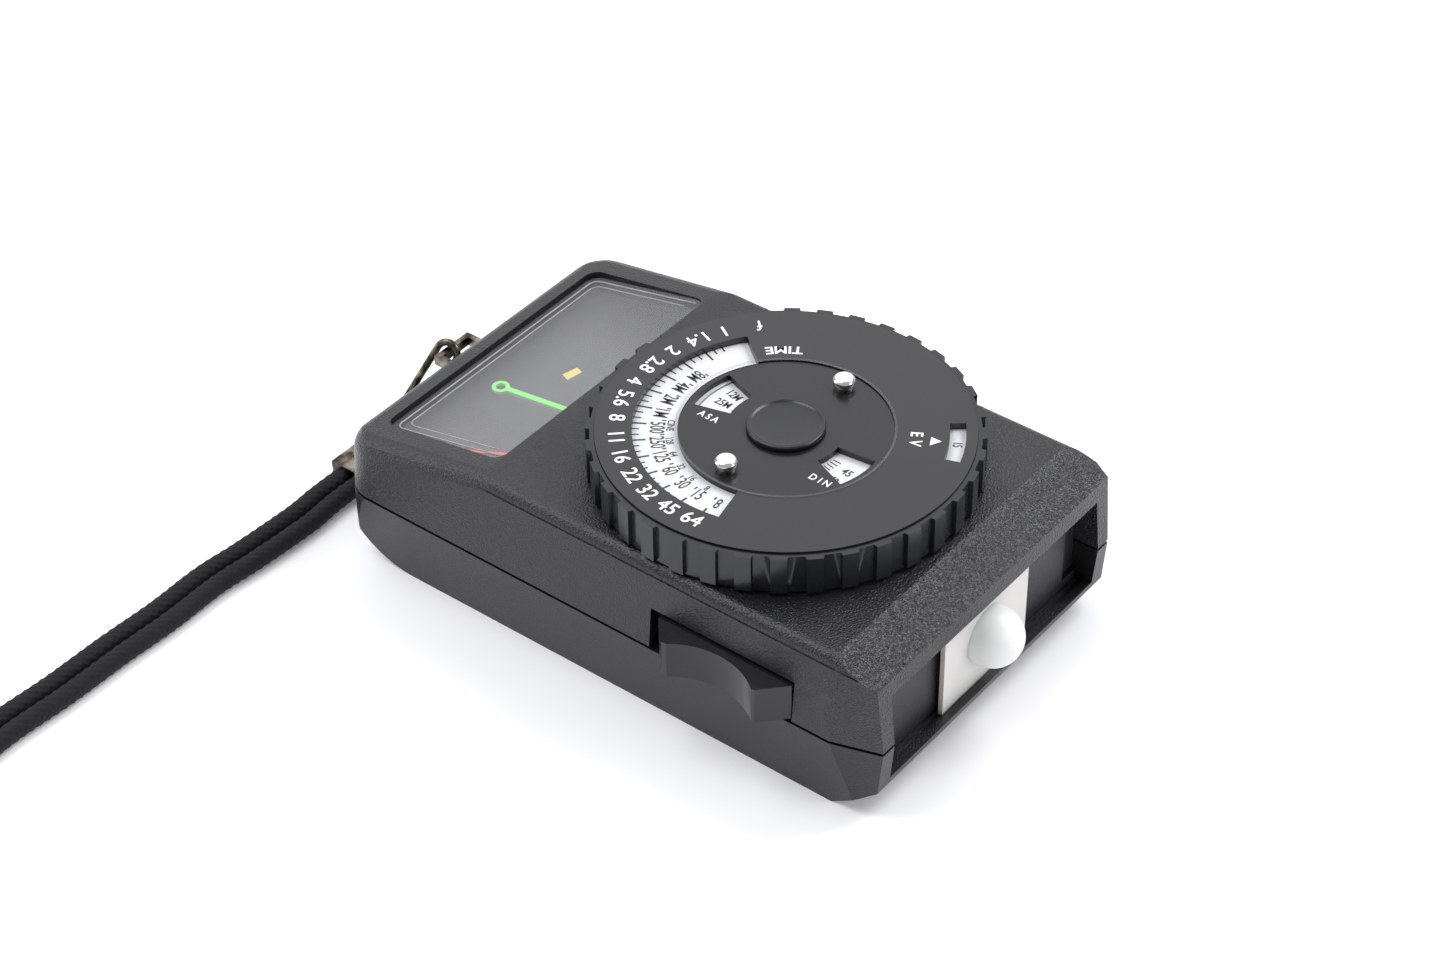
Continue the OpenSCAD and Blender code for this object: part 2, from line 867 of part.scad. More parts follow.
// Green pointer with an open ring at its end
module follow_pointer() {
    color("#3fae49") translate([0, meter_y, pointer_z]) linear_extrude(pointer_t) difference() {
        union() {
            circle(3.4);
            rotate(pointer_rest) {
                translate([-0.5, -pointer_len + 1]) square([1, pointer_len - 2]);
                translate([0, -pointer_len]) circle(1.4);
            }
        }
        circle(pointer_bore + run_gap);
        rotate(pointer_rest) translate([0, -pointer_len]) circle(0.8);
    }
}

// Shoulder screw that carries the pointer and its sector
module pointer_screw() {
    color("#c4c6c8") union() {
        rod([0, meter_y], pointer_bore, pointer_z - 0.1, body_h - wall);
        rod([0, meter_y], pointer_bore + 0.8, pointer_z - 0.4, pointer_z - 0.1);
    }
}

// Red needle of the meter movement
module meter_needle() {
    color("#d8322c") translate([0, meter_y, needle_z]) rotate(needle_rest)
        linear_extrude(needle_t) difference() {
            union() {
                circle(1.3);
                polygon([[-0.35, -0.9], [-0.2, -needle_len], [0.2, -needle_len], [0.35, -0.9]]);
                polygon([[-0.5, 0.9], [0.5, 0.9], [0.8, 6], [-0.8, 6]]);
            }
            circle(staff_r);
        }
}

// Staff that joins the coil to the needle
module needle_staff() {
    color("#b9bcc0") union() {
        rod([0, meter_y], staff_r, yoke_z + yoke_h + coil_t + fit, needle_z + needle_t);
        rod([0, meter_y], staff_r, yoke_z - 2.2, yoke_z - coil_t - fit);
    }
}

// Coil of the meter movement, wound round the core
module meter_coil() {
    z0 = yoke_z - coil_t - fit;
    z1 = yoke_z + yoke_h + coil_t + fit;
    color("#b06a33") translate([0, meter_y, 0]) rotate(needle_rest) difference() {
        block([-coil_r, -coil_w / 2, z0], [coil_r, coil_w / 2, z1]);
        block([-coil_r + 1.2, -coil_w, z0 + coil_t], [coil_r - 1.2, coil_w, z1 - coil_t]);
    }
}

// Flat spiral spring on the staff
module hairspring() {
    turns = 3;
    steps = 40;
    inner = staff_r;
    pitch = 0.8;
    width = 0.16;
    z = yoke_z + yoke_h + coil_t + 0.5;
    path = [for (i = [0:steps]) [inner + width + pitch * turns * i / steps, 360 * turns * i / steps]];
    color("#c9a24a") translate([0, meter_y, z]) linear_extrude(0.4) union() {
        difference() {
            circle(inner + 2 * width);
            circle(inner);
        }
        polygon(concat([for (p = path) polar(p[0] + width, p[1])],
            [for (i = [steps:-1:0]) polar(path[i][0] - width / 2, path[i][1])]));
    }
}

// Magnet core with the bars that hold it in the yoke
module meter_magnet() {
    color("#8d8f92") union() {
        rod([0, meter_y], core_r, yoke_z, yoke_z + yoke_h);
        intersection() {
            rod([0, meter_y], yoke_r - yoke_t, yoke_z + 1, yoke_z + yoke_h - 1);
            translate([0, meter_y, 0])
                rotate(needle_rest / 4)
                    block([-1.2, -yoke_r, 0], [1.2, yoke_r, big]);
        }
    }
}

// Soft iron ring round the movement, on a foot that carries the lower bearing
module meter_yoke() {
    color("#a4a6a9") difference() {
        union() {
            rod([0, meter_y], yoke_r, yoke_z - 2.4, yoke_z + yoke_h);
            block([-5, meter_y - 14, yoke_z - 3.4], [5, meter_y + 14, yoke_z - 2.2]);
        }
        rod([0, meter_y], yoke_r - yoke_t, yoke_z - 1.4, big);
        rod([0, meter_y], staff_r + run_gap, yoke_z - 2.2, big);
    }
}

// Metal plate that carries the post, the axle and the upper bearing
module mechanism_plate() {
    color("#b5b7ba") difference() {
        block([-19, meter_y - 10, chassis_z], [18, 14, chassis_z + chassis_t]);
        rod([0, 0], post_r - 1, 0, big);
        rod([0, meter_y], staff_r + run_gap, 0, big);
        for (at = plate_screw_at)
            rod(at, small_screw_r + fit, 0, big);
    }
}

// Three small screws below the mechanism plate
module plate_screws() {
    color("#b9bcc0")
        for (at = plate_screw_at) {
            rod(at, small_head_r, chassis_z - 0.8, chassis_z);
            rod(at, small_screw_r, chassis_z, chassis_z + 4.2);
        }
}

// Circuit board on the floor of the rear cover
module circuit_board() {
    color("#2c6b45") difference() {
        block([-board_x, board_y0, board_z], [board_x, board_y1, board_z + board_t]);
        for (x = [-board_x, board_x], y = [board_y0, board_y1])
            translate([x, y, 0])
                rod([x > 0 ? -3 : 3, y > 0 ? -3 : 3], 0.8, 0, big);
        block([-5.2, meter_y - 14.2, 0], [5.2, meter_y + 14.2, big]);
    }
}

// Amplifier, two trimmers and a capacitor on the board
module amplifier_chips() {
    z = board_z + board_t;
    color("#222326") {
        block([-15, 12, z], [-8, 21, z + 2.4]);
        block([8, 8, z], [13, 13, z + 2]);
        block([8, 16, z], [13, 21, z + 2]);
        rod([-12, -22], 2.4, z, z + 4);
    }
}

// Cylindrical battery
module battery() {
    color("#b98d3e") translate([-cell_l / 2, cell_y, cell_z]) rotate([0, 90, 0]) union() {
        cylinder(r = cell_d / 2, h = cell_l - 0.8);
        translate([0, 0, cell_l - 0.8]) cylinder(r = cell_d / 4, h = 0.8);
    }
}

// Sliding door of the battery box, flush with the back
module battery_door() {
    color("#2a2b2e") difference() {
        intersection() {
            envelope(0.05);
            union() {
                block([-door_w / 2, door_y0, 0], [door_w / 2, door_y1, door_t - fit]);
                block([-door_w / 2 - rail_d, door_y0, door_t / 2 + fit / 2],
                    [door_w / 2 + rail_d, door_y1, door_t - fit]);
            }
        }
        for (i = [0:4])
            block([-6, door_y0 + 4 + i * 1.4, -eps], [6, door_y0 + 4.7 + i * 1.4, 0.35]);
    }
}

// Flat contact at the battery's positive end
module contact_plus() {
    x = bay_l / 2;
    color("#c8cacc") union() {
        block([x - contact_t, cell_y - 3, cell_z - 4], [x, cell_y + 3, cell_z + 6.4]);
        translate([cell_l / 2, cell_y, cell_z]) rotate([0, 90, 0])
            cylinder(r = 2, h = contact_room - contact_t);
    }
}

// Leaf contact at the battery's negative end
module contact_minus() {
    x = -bay_l / 2;
    color("#c8cacc") union() {
        block([x, cell_y - 3, cell_z - 4], [x + contact_t, cell_y + 3, cell_z + 6.4]);
        translate([x + contact_t, cell_y, cell_z]) rotate([0, 90, 0])
            cylinder(r = 3, h = contact_room - contact_t);
    }
}

// Room for the strap bracket's foot inside the end wall
module lug_room() {
    block([-lug_w / 2, window_end - eps, lug_z], [lug_w / 2, window_end + 3.2, lug_z + lug_t]);
}

// Pressed steel bracket for the strap
module strap_lug() {
    y0 = window_end - lug_out;
    color("#c2bdb4") difference() {
        block([-lug_w / 2, y0, lug_z], [lug_w / 2, window_end + 3.2, lug_z + lug_t]);
        block([-lug_w / 2 + lug_wall, y0 + lug_wall, lug_z - eps],
            [lug_w / 2 - lug_wall, window_end - 0.2, lug_z + lug_t + eps]);
    }
}

// Wire link round the bracket's bar and the clasp's tongue
module strap_link() {
    reach = link_to - link_from;
    len = norm(reach);
    along = reach / len;
    across = cross([1, 0, 0], along) / norm(cross([1, 0, 0], along));
    normal = cross(across, along);
    color("#c9c4ba")
        multmatrix([[across[0], along[0], -normal[0], link_from[0]],
            [across[1], along[1], -normal[1], link_from[1]],
            [across[2], along[2], -normal[2], link_from[2]]]) {
            for (end = [0, 1])
                translate([0, end * len, 0])
                    rotate(end * 180)
                        rotate_extrude(angle = -180)
                            translate([link_r, 0]) circle(link_wire / 2);
            for (side = [-link_r, link_r])
                translate([side, 0, 0]) rotate([-90, 0, 0])
                    cylinder(r = link_wire / 2, h = len);
        }
}

// Metal clasp that grips both ends of the cord, with a hooked tongue for the link
module strap_clasp() {
    tip = clasp_x0 - tongue_l;
    color("#c9c4ba") union() {
        block([clasp_x0, clasp_y - clasp_w / 2, 0.2],
            [clasp_x0 + clasp_l, clasp_y + clasp_w / 2, clasp_h]);
        block([tip, clasp_y - tongue_t / 2, tongue_z - tongue_t / 2],
            [clasp_x0 + eps, clasp_y + tongue_t / 2, tongue_z + tongue_t / 2]);
        block([tip - tongue_t, clasp_y - tongue_t / 2, tongue_z - tongue_t / 2],
            [tip, clasp_y + tongue_t / 2, tongue_z + 2 * tongue_t]);
    }
}

// Smooth curve through the route's points, at fraction t between points i and i + 1
function route_point(p, i, t) =
    let (n = len(p) - 1,
        a = p[max(i - 1, 0)],
        b = p[i],
        c = p[min(i + 1, n)],
        d = p[min(i + 2, n)])
    0.5 * (2 * b + (c - a) * t + (2 * a - 5 * b + 4 * c - d) * t * t
        + (3 * b - a - 3 * c + d) * t * t * t);

// Points along the route, about ring_gap apart
function route_rings(p) = concat(
    [for (i = [0:len(p) - 2])
        let (n = max(1, round(norm(p[i + 1] - p[i]) / ring_gap)))
        for (k = [0:n - 1]) route_point(p, i, k / n)],
    [p[len(p) - 1]]);

// Eight-sided tube of diameter d through the points q
module swept_tube(q, d) {
    n = len(q);
    up = [0, 0, 1];
    ahead = [for (i = [0:n - 1])
        let (v = q[min(i + 1, n - 1)] - q[max(i - 1, 0)]) v / norm(v)];
    side = [for (v = ahead) let (s = cross(v, up)) s / norm(s)];
    lift = [for (i = [0:n - 1]) cross(side[i], ahead[i])];
    points = [for (i = [0:n - 1], k = [0:cord_sides - 1])
        let (a = (k + 0.5) * 360 / cord_sides)
        q[i] + d / 2 * (cos(a) * side[i] + sin(a) * lift[i])];
    walls = [for (i = [0:n - 2], k = [0:cord_sides - 1])
        let (k2 = (k + 1) % cord_sides)
        [i * cord_sides + k, i * cord_sides + k2, (i + 1) * cord_sides + k2,
            (i + 1) * cord_sides + k]];
    first = [for (k = [cord_sides - 1:-1:0]) k];
    last = [for (k = [0:cord_sides - 1]) (n - 1) * cord_sides + k];
    polyhedron(points, concat(walls, [first, last]));
}

// Braided wrist strap, both ends in the clasp
module strap_cord() {
    color("#16171a") swept_tube(route_rings(cord_route), cord_d);
}

front_cover();
rear_cover();
shell_screws();
window();
scale_plate();
sensor_block();
photocell();
cell_filter();
diffuser_plate();
diffuser_dome();
thumb_switch();
switch_shoe();
switch_contact();
grip_ring();
exposure_disc();
time_scale();
speed_disc();
speed_pins();
speed_scale();
centre_cap();
dial_post();
dial_gear();
idler_gear();
idler_pinion();
idler_axle();
pointer_sector();
follow_pointer();
pointer_screw();
meter_needle();
needle_staff();
meter_coil();
hairspring();
meter_magnet();
meter_yoke();
mechanism_plate();
plate_screws();
circuit_board();
amplifier_chips();
battery();
battery_door();
contact_plus();
contact_minus();
strap_lug();
strap_link();
strap_clasp();
strap_cord();
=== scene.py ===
import bmesh
import bpy
import numpy as np
from mathutils import Matrix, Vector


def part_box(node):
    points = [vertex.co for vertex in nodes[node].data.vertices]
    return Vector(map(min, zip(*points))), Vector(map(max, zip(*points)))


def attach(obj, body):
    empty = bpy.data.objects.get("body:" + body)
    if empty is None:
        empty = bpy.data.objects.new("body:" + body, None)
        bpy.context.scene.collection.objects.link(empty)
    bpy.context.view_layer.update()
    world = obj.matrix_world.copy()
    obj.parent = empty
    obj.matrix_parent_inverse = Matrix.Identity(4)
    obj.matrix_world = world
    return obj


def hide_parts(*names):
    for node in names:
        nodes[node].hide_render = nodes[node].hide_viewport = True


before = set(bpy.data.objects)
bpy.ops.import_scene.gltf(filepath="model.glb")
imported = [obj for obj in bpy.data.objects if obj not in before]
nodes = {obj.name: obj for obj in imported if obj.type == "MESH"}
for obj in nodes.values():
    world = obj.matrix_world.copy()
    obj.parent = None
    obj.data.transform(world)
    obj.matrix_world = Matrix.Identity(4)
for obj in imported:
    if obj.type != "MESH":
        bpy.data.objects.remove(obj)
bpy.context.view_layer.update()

# ---------------------------------------------------------------------------------------------------
# Camera. A long lens stands off the corner between the thumb switch and the sensor end, and looks
# down on the reading face at about forty degrees with a slight roll.
LENS = 81.11
EYE = (0.29833, 0.22217, 0.33265)
TURN, DIP, ROLL = np.radians([128.117, 39.680, -0.519])

look = np.array([-np.sin(TURN) * np.cos(DIP), np.cos(TURN) * np.cos(DIP), -np.sin(DIP)])
across = np.array([np.cos(TURN), np.sin(TURN), 0.0])
upward = np.cross(across, look)
lens_x = across * np.cos(ROLL) + upward * np.sin(ROLL)
lens_y = upward * np.cos(ROLL) - across * np.sin(ROLL)
camera_data = bpy.data.cameras.new("camera")
camera_data.sensor_width = 36.0
camera_data.lens = LENS
camera_data.clip_start = 0.02
camera_data.clip_end = 20.0
camera = bpy.data.objects.new("camera", camera_data)
stand = np.eye(4)
stand[:3, 0] = lens_x
stand[:3, 1] = lens_y
stand[:3, 2] = -look
stand[:3, 3] = EYE
camera.matrix_world = Matrix(stand.tolist())
bpy.context.scene.collection.objects.link(camera)
bpy.context.scene.camera = camera

# ---------------------------------------------------------------------------------------------------
# Wrist cord. One length of black nylon braid, sixteen yarns woven as a round tube, doubled into a loop
# with both ends crimped in the strap clasp. It lies on the table.
CORD_D = 0.0032
CORD_ROUTE = 0.001 * np.array([
    [20, -69.8, 1.8], [26, -69.8, 1.8], [32, -69.5, 1.7], [43, -70, 1.7], [51, -70.7, 1.7],
    [61, -70.5, 1.7], [71, -70.9, 1.7], [82, -71, 1.7], [93, -71.6, 1.7], [105, -71, 1.7],
    [118, -69, 1.7], [130, -66, 1.7], [140, -64, 1.7], [148, -64.5, 1.7], [154, -68, 1.7],
    [156, -73, 1.7], [153, -78, 1.7], [147, -80.5, 1.7], [139, -80, 1.7], [130, -78.5, 1.7],
    [118, -76, 1.7], [105, -74.8, 1.7], [93, -75.1, 1.7], [82, -74.5, 1.7], [71, -74.4, 1.7],
    [61, -74, 1.7], [51, -74.2, 1.7], [43, -73.5, 1.7], [32, -73, 1.7], [26, -73.2, 1.8],
    [20, -73.2, 1.8]])
YARN_STEP = 0.00155
YARN_DEPTH = 0.00034
CORD_SIDES = 32
CORD_STEP = 0.00027
CORD_BLACK = (0.0035, 0.0037, 0.0043)


def smooth_route(points, gap):
    """Catmull-Rom curve through the points: each span is the usual cubic of its two ends and their two
    neighbours. It is then walked at even steps of about gap, by interpolating on its running length."""
    p = np.vstack([points[:1], points, points[-1:]])
    t = np.linspace(0, 1, 24, endpoint=False)[:, None, None]
    a, b, c, d = p[:-3], p[1:-2], p[2:-1], p[3:]
    span = 0.5 * (2 * b + (c - a) * t + (2 * a - 5 * b + 4 * c - d) * t**2
                  + (3 * b - a - 3 * c + d) * t**3)
    line = np.vstack([span.transpose(1, 0, 2).reshape(-1, 3), points[-1:]])
    run = np.r_[0, np.cumsum(np.linalg.norm(np.diff(line, axis=0), axis=1))]
    even = np.linspace(0, run[-1], int(round(run[-1] / gap)) + 1)
    return np.stack([np.interp(even, run, line[:, k]) for k in range(3)], 1), even


def path_frames(line):
    """Side and lift directions at each point of a path that stays near level: side is the path's
    direction crossed with straight up, and lift is square to both."""
    ahead = np.gradient(line, axis=0)
    ahead /= np.linalg.norm(ahead, axis=1)[:, None]
    side = np.cross(ahead, [0.0, 0.0, 1.0])
    side /= np.linalg.norm(side, axis=1)[:, None]
    return side, np.cross(side, ahead)


def grid_faces(rows, columns, closed):
    """Quads of a grid of points numbered row by row. When closed, the last column joins the first."""
    last = columns if closed else columns - 1
    i, k = np.meshgrid(np.arange(rows - 1), np.arange(last), indexing="ij")
    k2 = (k + 1) % columns
    quads = np.stack([i * columns + k, i * columns + k2, (i + 1) * columns + k2,
                      (i + 1) * columns + k], -1)
    return quads.reshape(-1, 4)


def new_piece(name, points, faces, finish, body, smooth=True):
    """A mesh object at the origin from an array of points and a list of faces, shaded smooth or flat,
    with its finish, riding on a body."""
    mesh = bpy.data.meshes.new(name)
    mesh.from_pydata(points.tolist(), [], [list(f) for f in faces])
    mesh.update()
    mesh.polygons.foreach_set("use_smooth", np.full(len(mesh.polygons), smooth))
    mesh.materials.append(finish)
    piece = bpy.data.objects.new(name, mesh)
    bpy.context.scene.collection.objects.link(piece)
    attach(piece, body)
    return piece


class Finish:
    """A node material being put together: its nodes, its links, its shader and its coordinates."""

    def __init__(self, name, colour, roughness, metallic=0.0):
        self.material = bpy.data.materials.new(name)
        self.material.use_nodes = True
        tree = self.material.node_tree
        self.nodes = tree.nodes
        self.links = tree.links
        self.shader = self.nodes["Principled BSDF"]
        self.shader.inputs["Base Color"].default_value = (*colour, 1)
        self.shader.inputs["Roughness"].default_value = roughness
        self.shader.inputs["Metallic"].default_value = metallic
        self.place = self.nodes.new("ShaderNodeTexCoord").outputs["Object"]
        self.bump_before = None

    def join(self, source, target):
        self.links.new(source, target)

    def mottle(self, scale, detail=2.0, rough=0.5, place=None):
        """Soft random patches, about one over scale metres across."""
        node = self.nodes.new("ShaderNodeTexNoise")
        node.inputs["Scale"].default_value = scale
        node.inputs["Detail"].default_value = detail
        node.inputs["Roughness"].default_value = rough
        self.join(place or self.place, node.inputs["Vector"])
        return node.outputs["Fac"]

    def cells(self, scale, place=None):
        """Rounded random cells, about one over scale metres across."""
        node = self.nodes.new("ShaderNodeTexVoronoi")
        node.inputs["Scale"].default_value = scale
        self.join(place or self.place, node.inputs["Vector"])
        return node.outputs["Distance"]

    def between(self, value, low, high, to_low, to_high):
        """Value carried from low..high to to_low..to_high, and held at the two ends."""
        node = self.nodes.new("ShaderNodeMapRange")
        node.inputs["From Min"].default_value = low
        node.inputs["From Max"].default_value = high
        node.inputs["To Min"].default_value = to_low
        node.inputs["To Max"].default_value = to_high
        self.join(value, node.inputs["Value"])
        return node.outputs["Result"]

    def sum(self, kind, first, second):
        """One arithmetic step on two values, either of which may be a plain number."""
        node = self.nodes.new("ShaderNodeMath")
        node.operation = kind
        for given, socket in ((first, node.inputs[0]), (second, node.inputs[1])):
            if isinstance(given, (int, float)):
                socket.default_value = given
            else:
                self.join(given, socket)
        return node.outputs[0]

    def axis(self, letter):
        """The X, Y or Z part of the place on the piece."""
        node = self.nodes.new("ShaderNodeSeparateXYZ")
        self.join(self.place, node.inputs[0])
        return node.outputs[letter]

    def tint(self, value, low, high):
        """Base colour from one colour to another as value goes from nought to one."""
        node = self.nodes.new("ShaderNodeMix")
        node.data_type = "RGBA"
        node.inputs["A"].default_value = (*low, 1)
        node.inputs["B"].default_value = (*high, 1)
        self.join(value, node.inputs["Factor"])
        self.join(node.outputs["Result"], self.shader.inputs["Base Color"])

    def gloss(self, value, low, high):
        """Roughness from low to high as value goes from 0.3 to 0.7."""
        self.join(self.between(value, 0.3, 0.7, low, high), self.shader.inputs["Roughness"])

    def relief(self, value, height, strength=1.0):
        """A bump of that height in metres, laid over any bump given before it."""
        node = self.nodes.new("ShaderNodeBump")
        node.inputs["Distance"].default_value = height
        node.inputs["Strength"].default_value = strength
        self.join(value, node.inputs["Height"])
        if self.bump_before is not None:
            self.join(self.bump_before, node.inputs["Normal"])
        self.bump_before = node.outputs["Normal"]
        self.join(self.bump_before, self.shader.inputs["Normal"])
        return node


braid = Finish("braided_nylon", CORD_BLACK, 0.6)
braid.shader.inputs["Sheen Weight"].default_value = 0.05
braid.shader.inputs["Specular IOR Level"].default_value = 0.22
braid.shader.inputs["Sheen Roughness"].default_value = 0.4
braid_map = braid.nodes.new("ShaderNodeUVMap")
braid_map.uv_map = "along_cord"
filaments = braid.nodes.new("ShaderNodeMapping")
filaments.inputs["Scale"].default_value = (60, 240, 1)
braid.join(braid_map.outputs["UV"], filaments.inputs["Vector"])
fibre = braid.mottle(1.0, 3.0, 0.7, filaments.outputs["Vector"])
braid.tint(braid.between(fibre, 0.35, 0.7, 0, 1), CORD_BLACK, (0.016, 0.0165, 0.02))
braid.gloss(fibre, 0.55, 0.85)
braid.relief(fibre, 0.00008, 0.7)

cord_line, cord_run = smooth_route(CORD_ROUTE, CORD_STEP)
cord_side, cord_lift = path_frames(cord_line)
turn = np.linspace(0, 1, CORD_SIDES, endpoint=False)
yarn_a = 8 * turn[None, :] + cord_run[:, None] / YARN_STEP
yarn_b = 8 * turn[None, :] - cord_run[:, None] / YARN_STEP
over = 0.35 * np.cos(np.pi * (yarn_a + yarn_b))
weave = np.maximum(np.cos(np.pi * yarn_a) ** 2 + over, np.cos(np.pi * yarn_b) ** 2 - over)
weave = weave / weave.max()
cord_radius = CORD_D / 2 - YARN_DEPTH * (1 - weave)
angle = 2 * np.pi * turn[None, :, None]
ring = cord_side[:, None, :] * np.cos(angle) + cord_lift[:, None, :] * np.sin(angle)
cord_points = (cord_line[:, None, :] + ring * cord_radius[:, :, None]).reshape(-1, 3)
cord_faces = grid_faces(len(cord_line), CORD_SIDES, True)[:, ::-1].tolist()
cord_faces.append(list(range(CORD_SIDES)))
cord_faces.append(list(range(len(cord_points) - 1, len(cord_points) - CORD_SIDES - 1, -1)))
strap_braid = new_piece("strap_braid", cord_points, cord_faces, braid.material, "body")
cord_uv = strap_braid.data.uv_layers.new(name="along_cord")
cord_corner = np.zeros(len(strap_braid.data.loops), np.int32)
strap_braid.data.loops.foreach_get("vertex_index", cord_corner)
cord_uv_at = np.stack([turn[cord_corner % CORD_SIDES],
                       cord_run[cord_corner // CORD_SIDES] / CORD_ROUTE[:, 0].max()], 1)
cord_uv.data.foreach_set("uv", cord_uv_at.astype(np.float32).ravel())
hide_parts("strap_cord")

# ---------------------------------------------------------------------------------------------------
# Table and light. A white table under the meter, a broad dim panel behind it that the flat faces
# mirror, one softbox overhead, one for the ramp, two small ones at the sides, and a white surround.
table_finish = Finish("white_table", (0.9, 0.9, 0.9), 0.9)
table_finish.shader.inputs["Specular IOR Level"].default_value = 0.1
table_finish.shader.inputs["Emission Color"].default_value = (1.0, 1.0, 1.0, 1)
table_finish.shader.inputs["Emission Strength"].default_value = 0.12
table_finish.tint(table_finish.mottle(9.0), (0.9, 0.9, 0.905), (0.93, 0.93, 0.93))
bpy.ops.mesh.primitive_plane_add(size=6.0, location=(0, 0, 0))
table = bpy.context.object
table.name = "table"
table.data.materials.append(table_finish.material)

bpy.context.scene.view_settings.view_transform = "Standard"
surround = bpy.data.worlds.new("surround")
surround.use_nodes = True
surround.node_tree.nodes["Background"].inputs["Color"].default_value = (1.0, 1.0, 1.0, 1)
surround.node_tree.nodes["Background"].inputs["Strength"].default_value = 0.46
bpy.context.scene.world = surround


def softbox(name, at, towards, width, height, power):
    """A rectangular area lamp that faces the point towards."""
    lamp_data = bpy.data.lights.new(name, "AREA")
    lamp_data.shape = "RECTANGLE"
    lamp_data.size = width
    lamp_data.size_y = height
    lamp_data.energy = power
    lamp_data.color = (0.94, 0.95, 1.0)
    lamp = bpy.data.objects.new(name, lamp_data)
    back = np.array(at, float) - np.array(towards, float)
    back /= np.linalg.norm(back)
    flat = np.cross([0.0, 0.0, 1.0], back)
    flat = flat / np.linalg.norm(flat) if np.linalg.norm(flat) > 1e-6 else np.array([1.0, 0, 0])
    stance = np.eye(4)
    stance[:3, 0] = flat
    stance[:3, 1] = np.cross(back, flat)
    stance[:3, 2] = back
    stance[:3, 3] = at
    lamp.matrix_world = Matrix(stance.tolist())
    bpy.context.scene.collection.objects.link(lamp)


softbox("panel_behind", (-1.0, -0.78, 1.0), (0, 0, 0), 2.3, 1.5, 10.0)
softbox("softbox_over", (0.3, -0.5, 1.2), (0, 0, 0), 0.8, 0.8, 9.0)
softbox("softbox_ramp", (-0.6, 0.28, 0.8), (0, 0, 0), 0.5, 0.5, 6.5)
softbox("softbox_left", (0.55, -1.05, 0.5), (0, 0, 0), 0.6, 0.6, 4.2)
softbox("softbox_right", (-0.3, 1.1, 0.45), (0, 0, 0), 0.5, 0.5, 3.2)

# ---------------------------------------------------------------------------------------------------
# Covers. Two black moulded plastic shells that meet at a dark seam and are held by four long screws
# from the back. Their skin has a fine spark-eroded grain, coarser on the sensor ramp.
COVER_BLACK = (0.0085, 0.0088, 0.0096)
COVER_WORN = (0.0145, 0.015, 0.0165)


def grained_plastic(name, dark, worn, grain, depth, low, high):
    """Moulded plastic: rounded grains over finer pits, patches of sheen, and rubbed lighter patches."""
    finish = Finish(name, dark, (low + high) / 2)
    finish.shader.inputs["Specular IOR Level"].default_value = 0.5
    grains = finish.mottle(grain, 1.5, 0.45)
    patches = finish.mottle(55.0, 3.0, 0.6)
    finish.tint(finish.between(patches, 0.35, 0.75, 0, 1), dark, worn)
    finish.gloss(patches, low, high)
    finish.relief(grains, depth)
    return finish


front_plastic = grained_plastic(
    "front_cover_plastic", COVER_BLACK, COVER_WORN, 3600.0, 0.00015, 0.25, 0.36)
ramp_place = front_plastic.between(front_plastic.axis("Y"), 0.028, 0.032, 0.0, 1.0)
ramp_grain = front_plastic.sum("MULTIPLY", front_plastic.cells(3000.0), ramp_place)
front_plastic.relief(ramp_grain, 0.00011)
back_plastic = grained_plastic(
    "rear_cover_plastic", (0.0065, 0.0068, 0.0075), (0.011, 0.0115, 0.0125), 3600.0, 0.0001, 0.26, 0.38)


def dress(finish, *names):
    """Gives CAD nodes a finish in every material slot they have."""
    for name in names:
        for place in nodes[name].material_slots:
            place.material = finish.material


dress(front_plastic, "front_cover")
dress(back_plastic, "rear_cover")

# ---------------------------------------------------------------------------------------------------
# Window. A clear acrylic pane over the needles, held in the front cover's recess. Its moulded edge is
# drawn as two thin beads, whose light grey colour is a painted highlight.
PANE_T = 0.001
BEAD_BEND = 0.0014
BEAD_SIDES = 10
pane = Finish("window_acrylic", (1.0, 1.0, 1.0), 0.03)
pane.shader.inputs["IOR"].default_value = 1.49
pane.shader.inputs["Alpha"].default_value = 0.09
pane.tint(pane.mottle(30.0), (0.86, 0.87, 0.88), (0.93, 0.93, 0.94))
pane.gloss(pane.mottle(90.0, 3.0), 0.02, 0.06)
dress(pane, "window")
window_low, window_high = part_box("window")


def bead_loop(inset, radius, lift):
    """A thin round bead along the pane's two sides and its outer end: a path of straight runs joined by
    rounded corners, on the pane's sloping top face, swept by a small circle."""
    half = window_high.x - inset
    end = window_low.y + inset
    last = window_high.y - inset
    arc = np.linspace(0, np.pi / 2, 9)
    run = np.linspace(0, 1, 12)[:-1]
    left = np.stack([-half + 0 * run, last + (end + BEAD_BEND - last) * run], 1)
    first = np.stack([-half + BEAD_BEND * (1 - np.cos(arc)), end + BEAD_BEND * (1 - np.sin(arc))], 1)
    path = np.vstack([left, first])
    path = np.vstack([path, (path * [-1, 1])[::-1]])
    slope = (window_high.z - window_low.z - PANE_T) / (window_high.y - window_low.y)
    height = window_low.z + PANE_T + (path[:, 1] - window_low.y) * slope + lift
    line = np.column_stack([path, height])
    side, up = path_frames(line)
    around = np.linspace(0, 2 * np.pi, BEAD_SIDES, endpoint=False)[None, :, None]
    tube = line[:, None, :] + radius * (side[:, None, :] * np.cos(around) + up[:, None, :] * np.sin(around))
    faces = grid_faces(len(line), BEAD_SIDES, True)[:, ::-1].tolist()
    faces.append(list(range(BEAD_SIDES)))
    faces.append(list(range(len(line) * BEAD_SIDES - 1, (len(line) - 1) * BEAD_SIDES - 1, -1)))
    return tube.reshape(-1, 3), faces
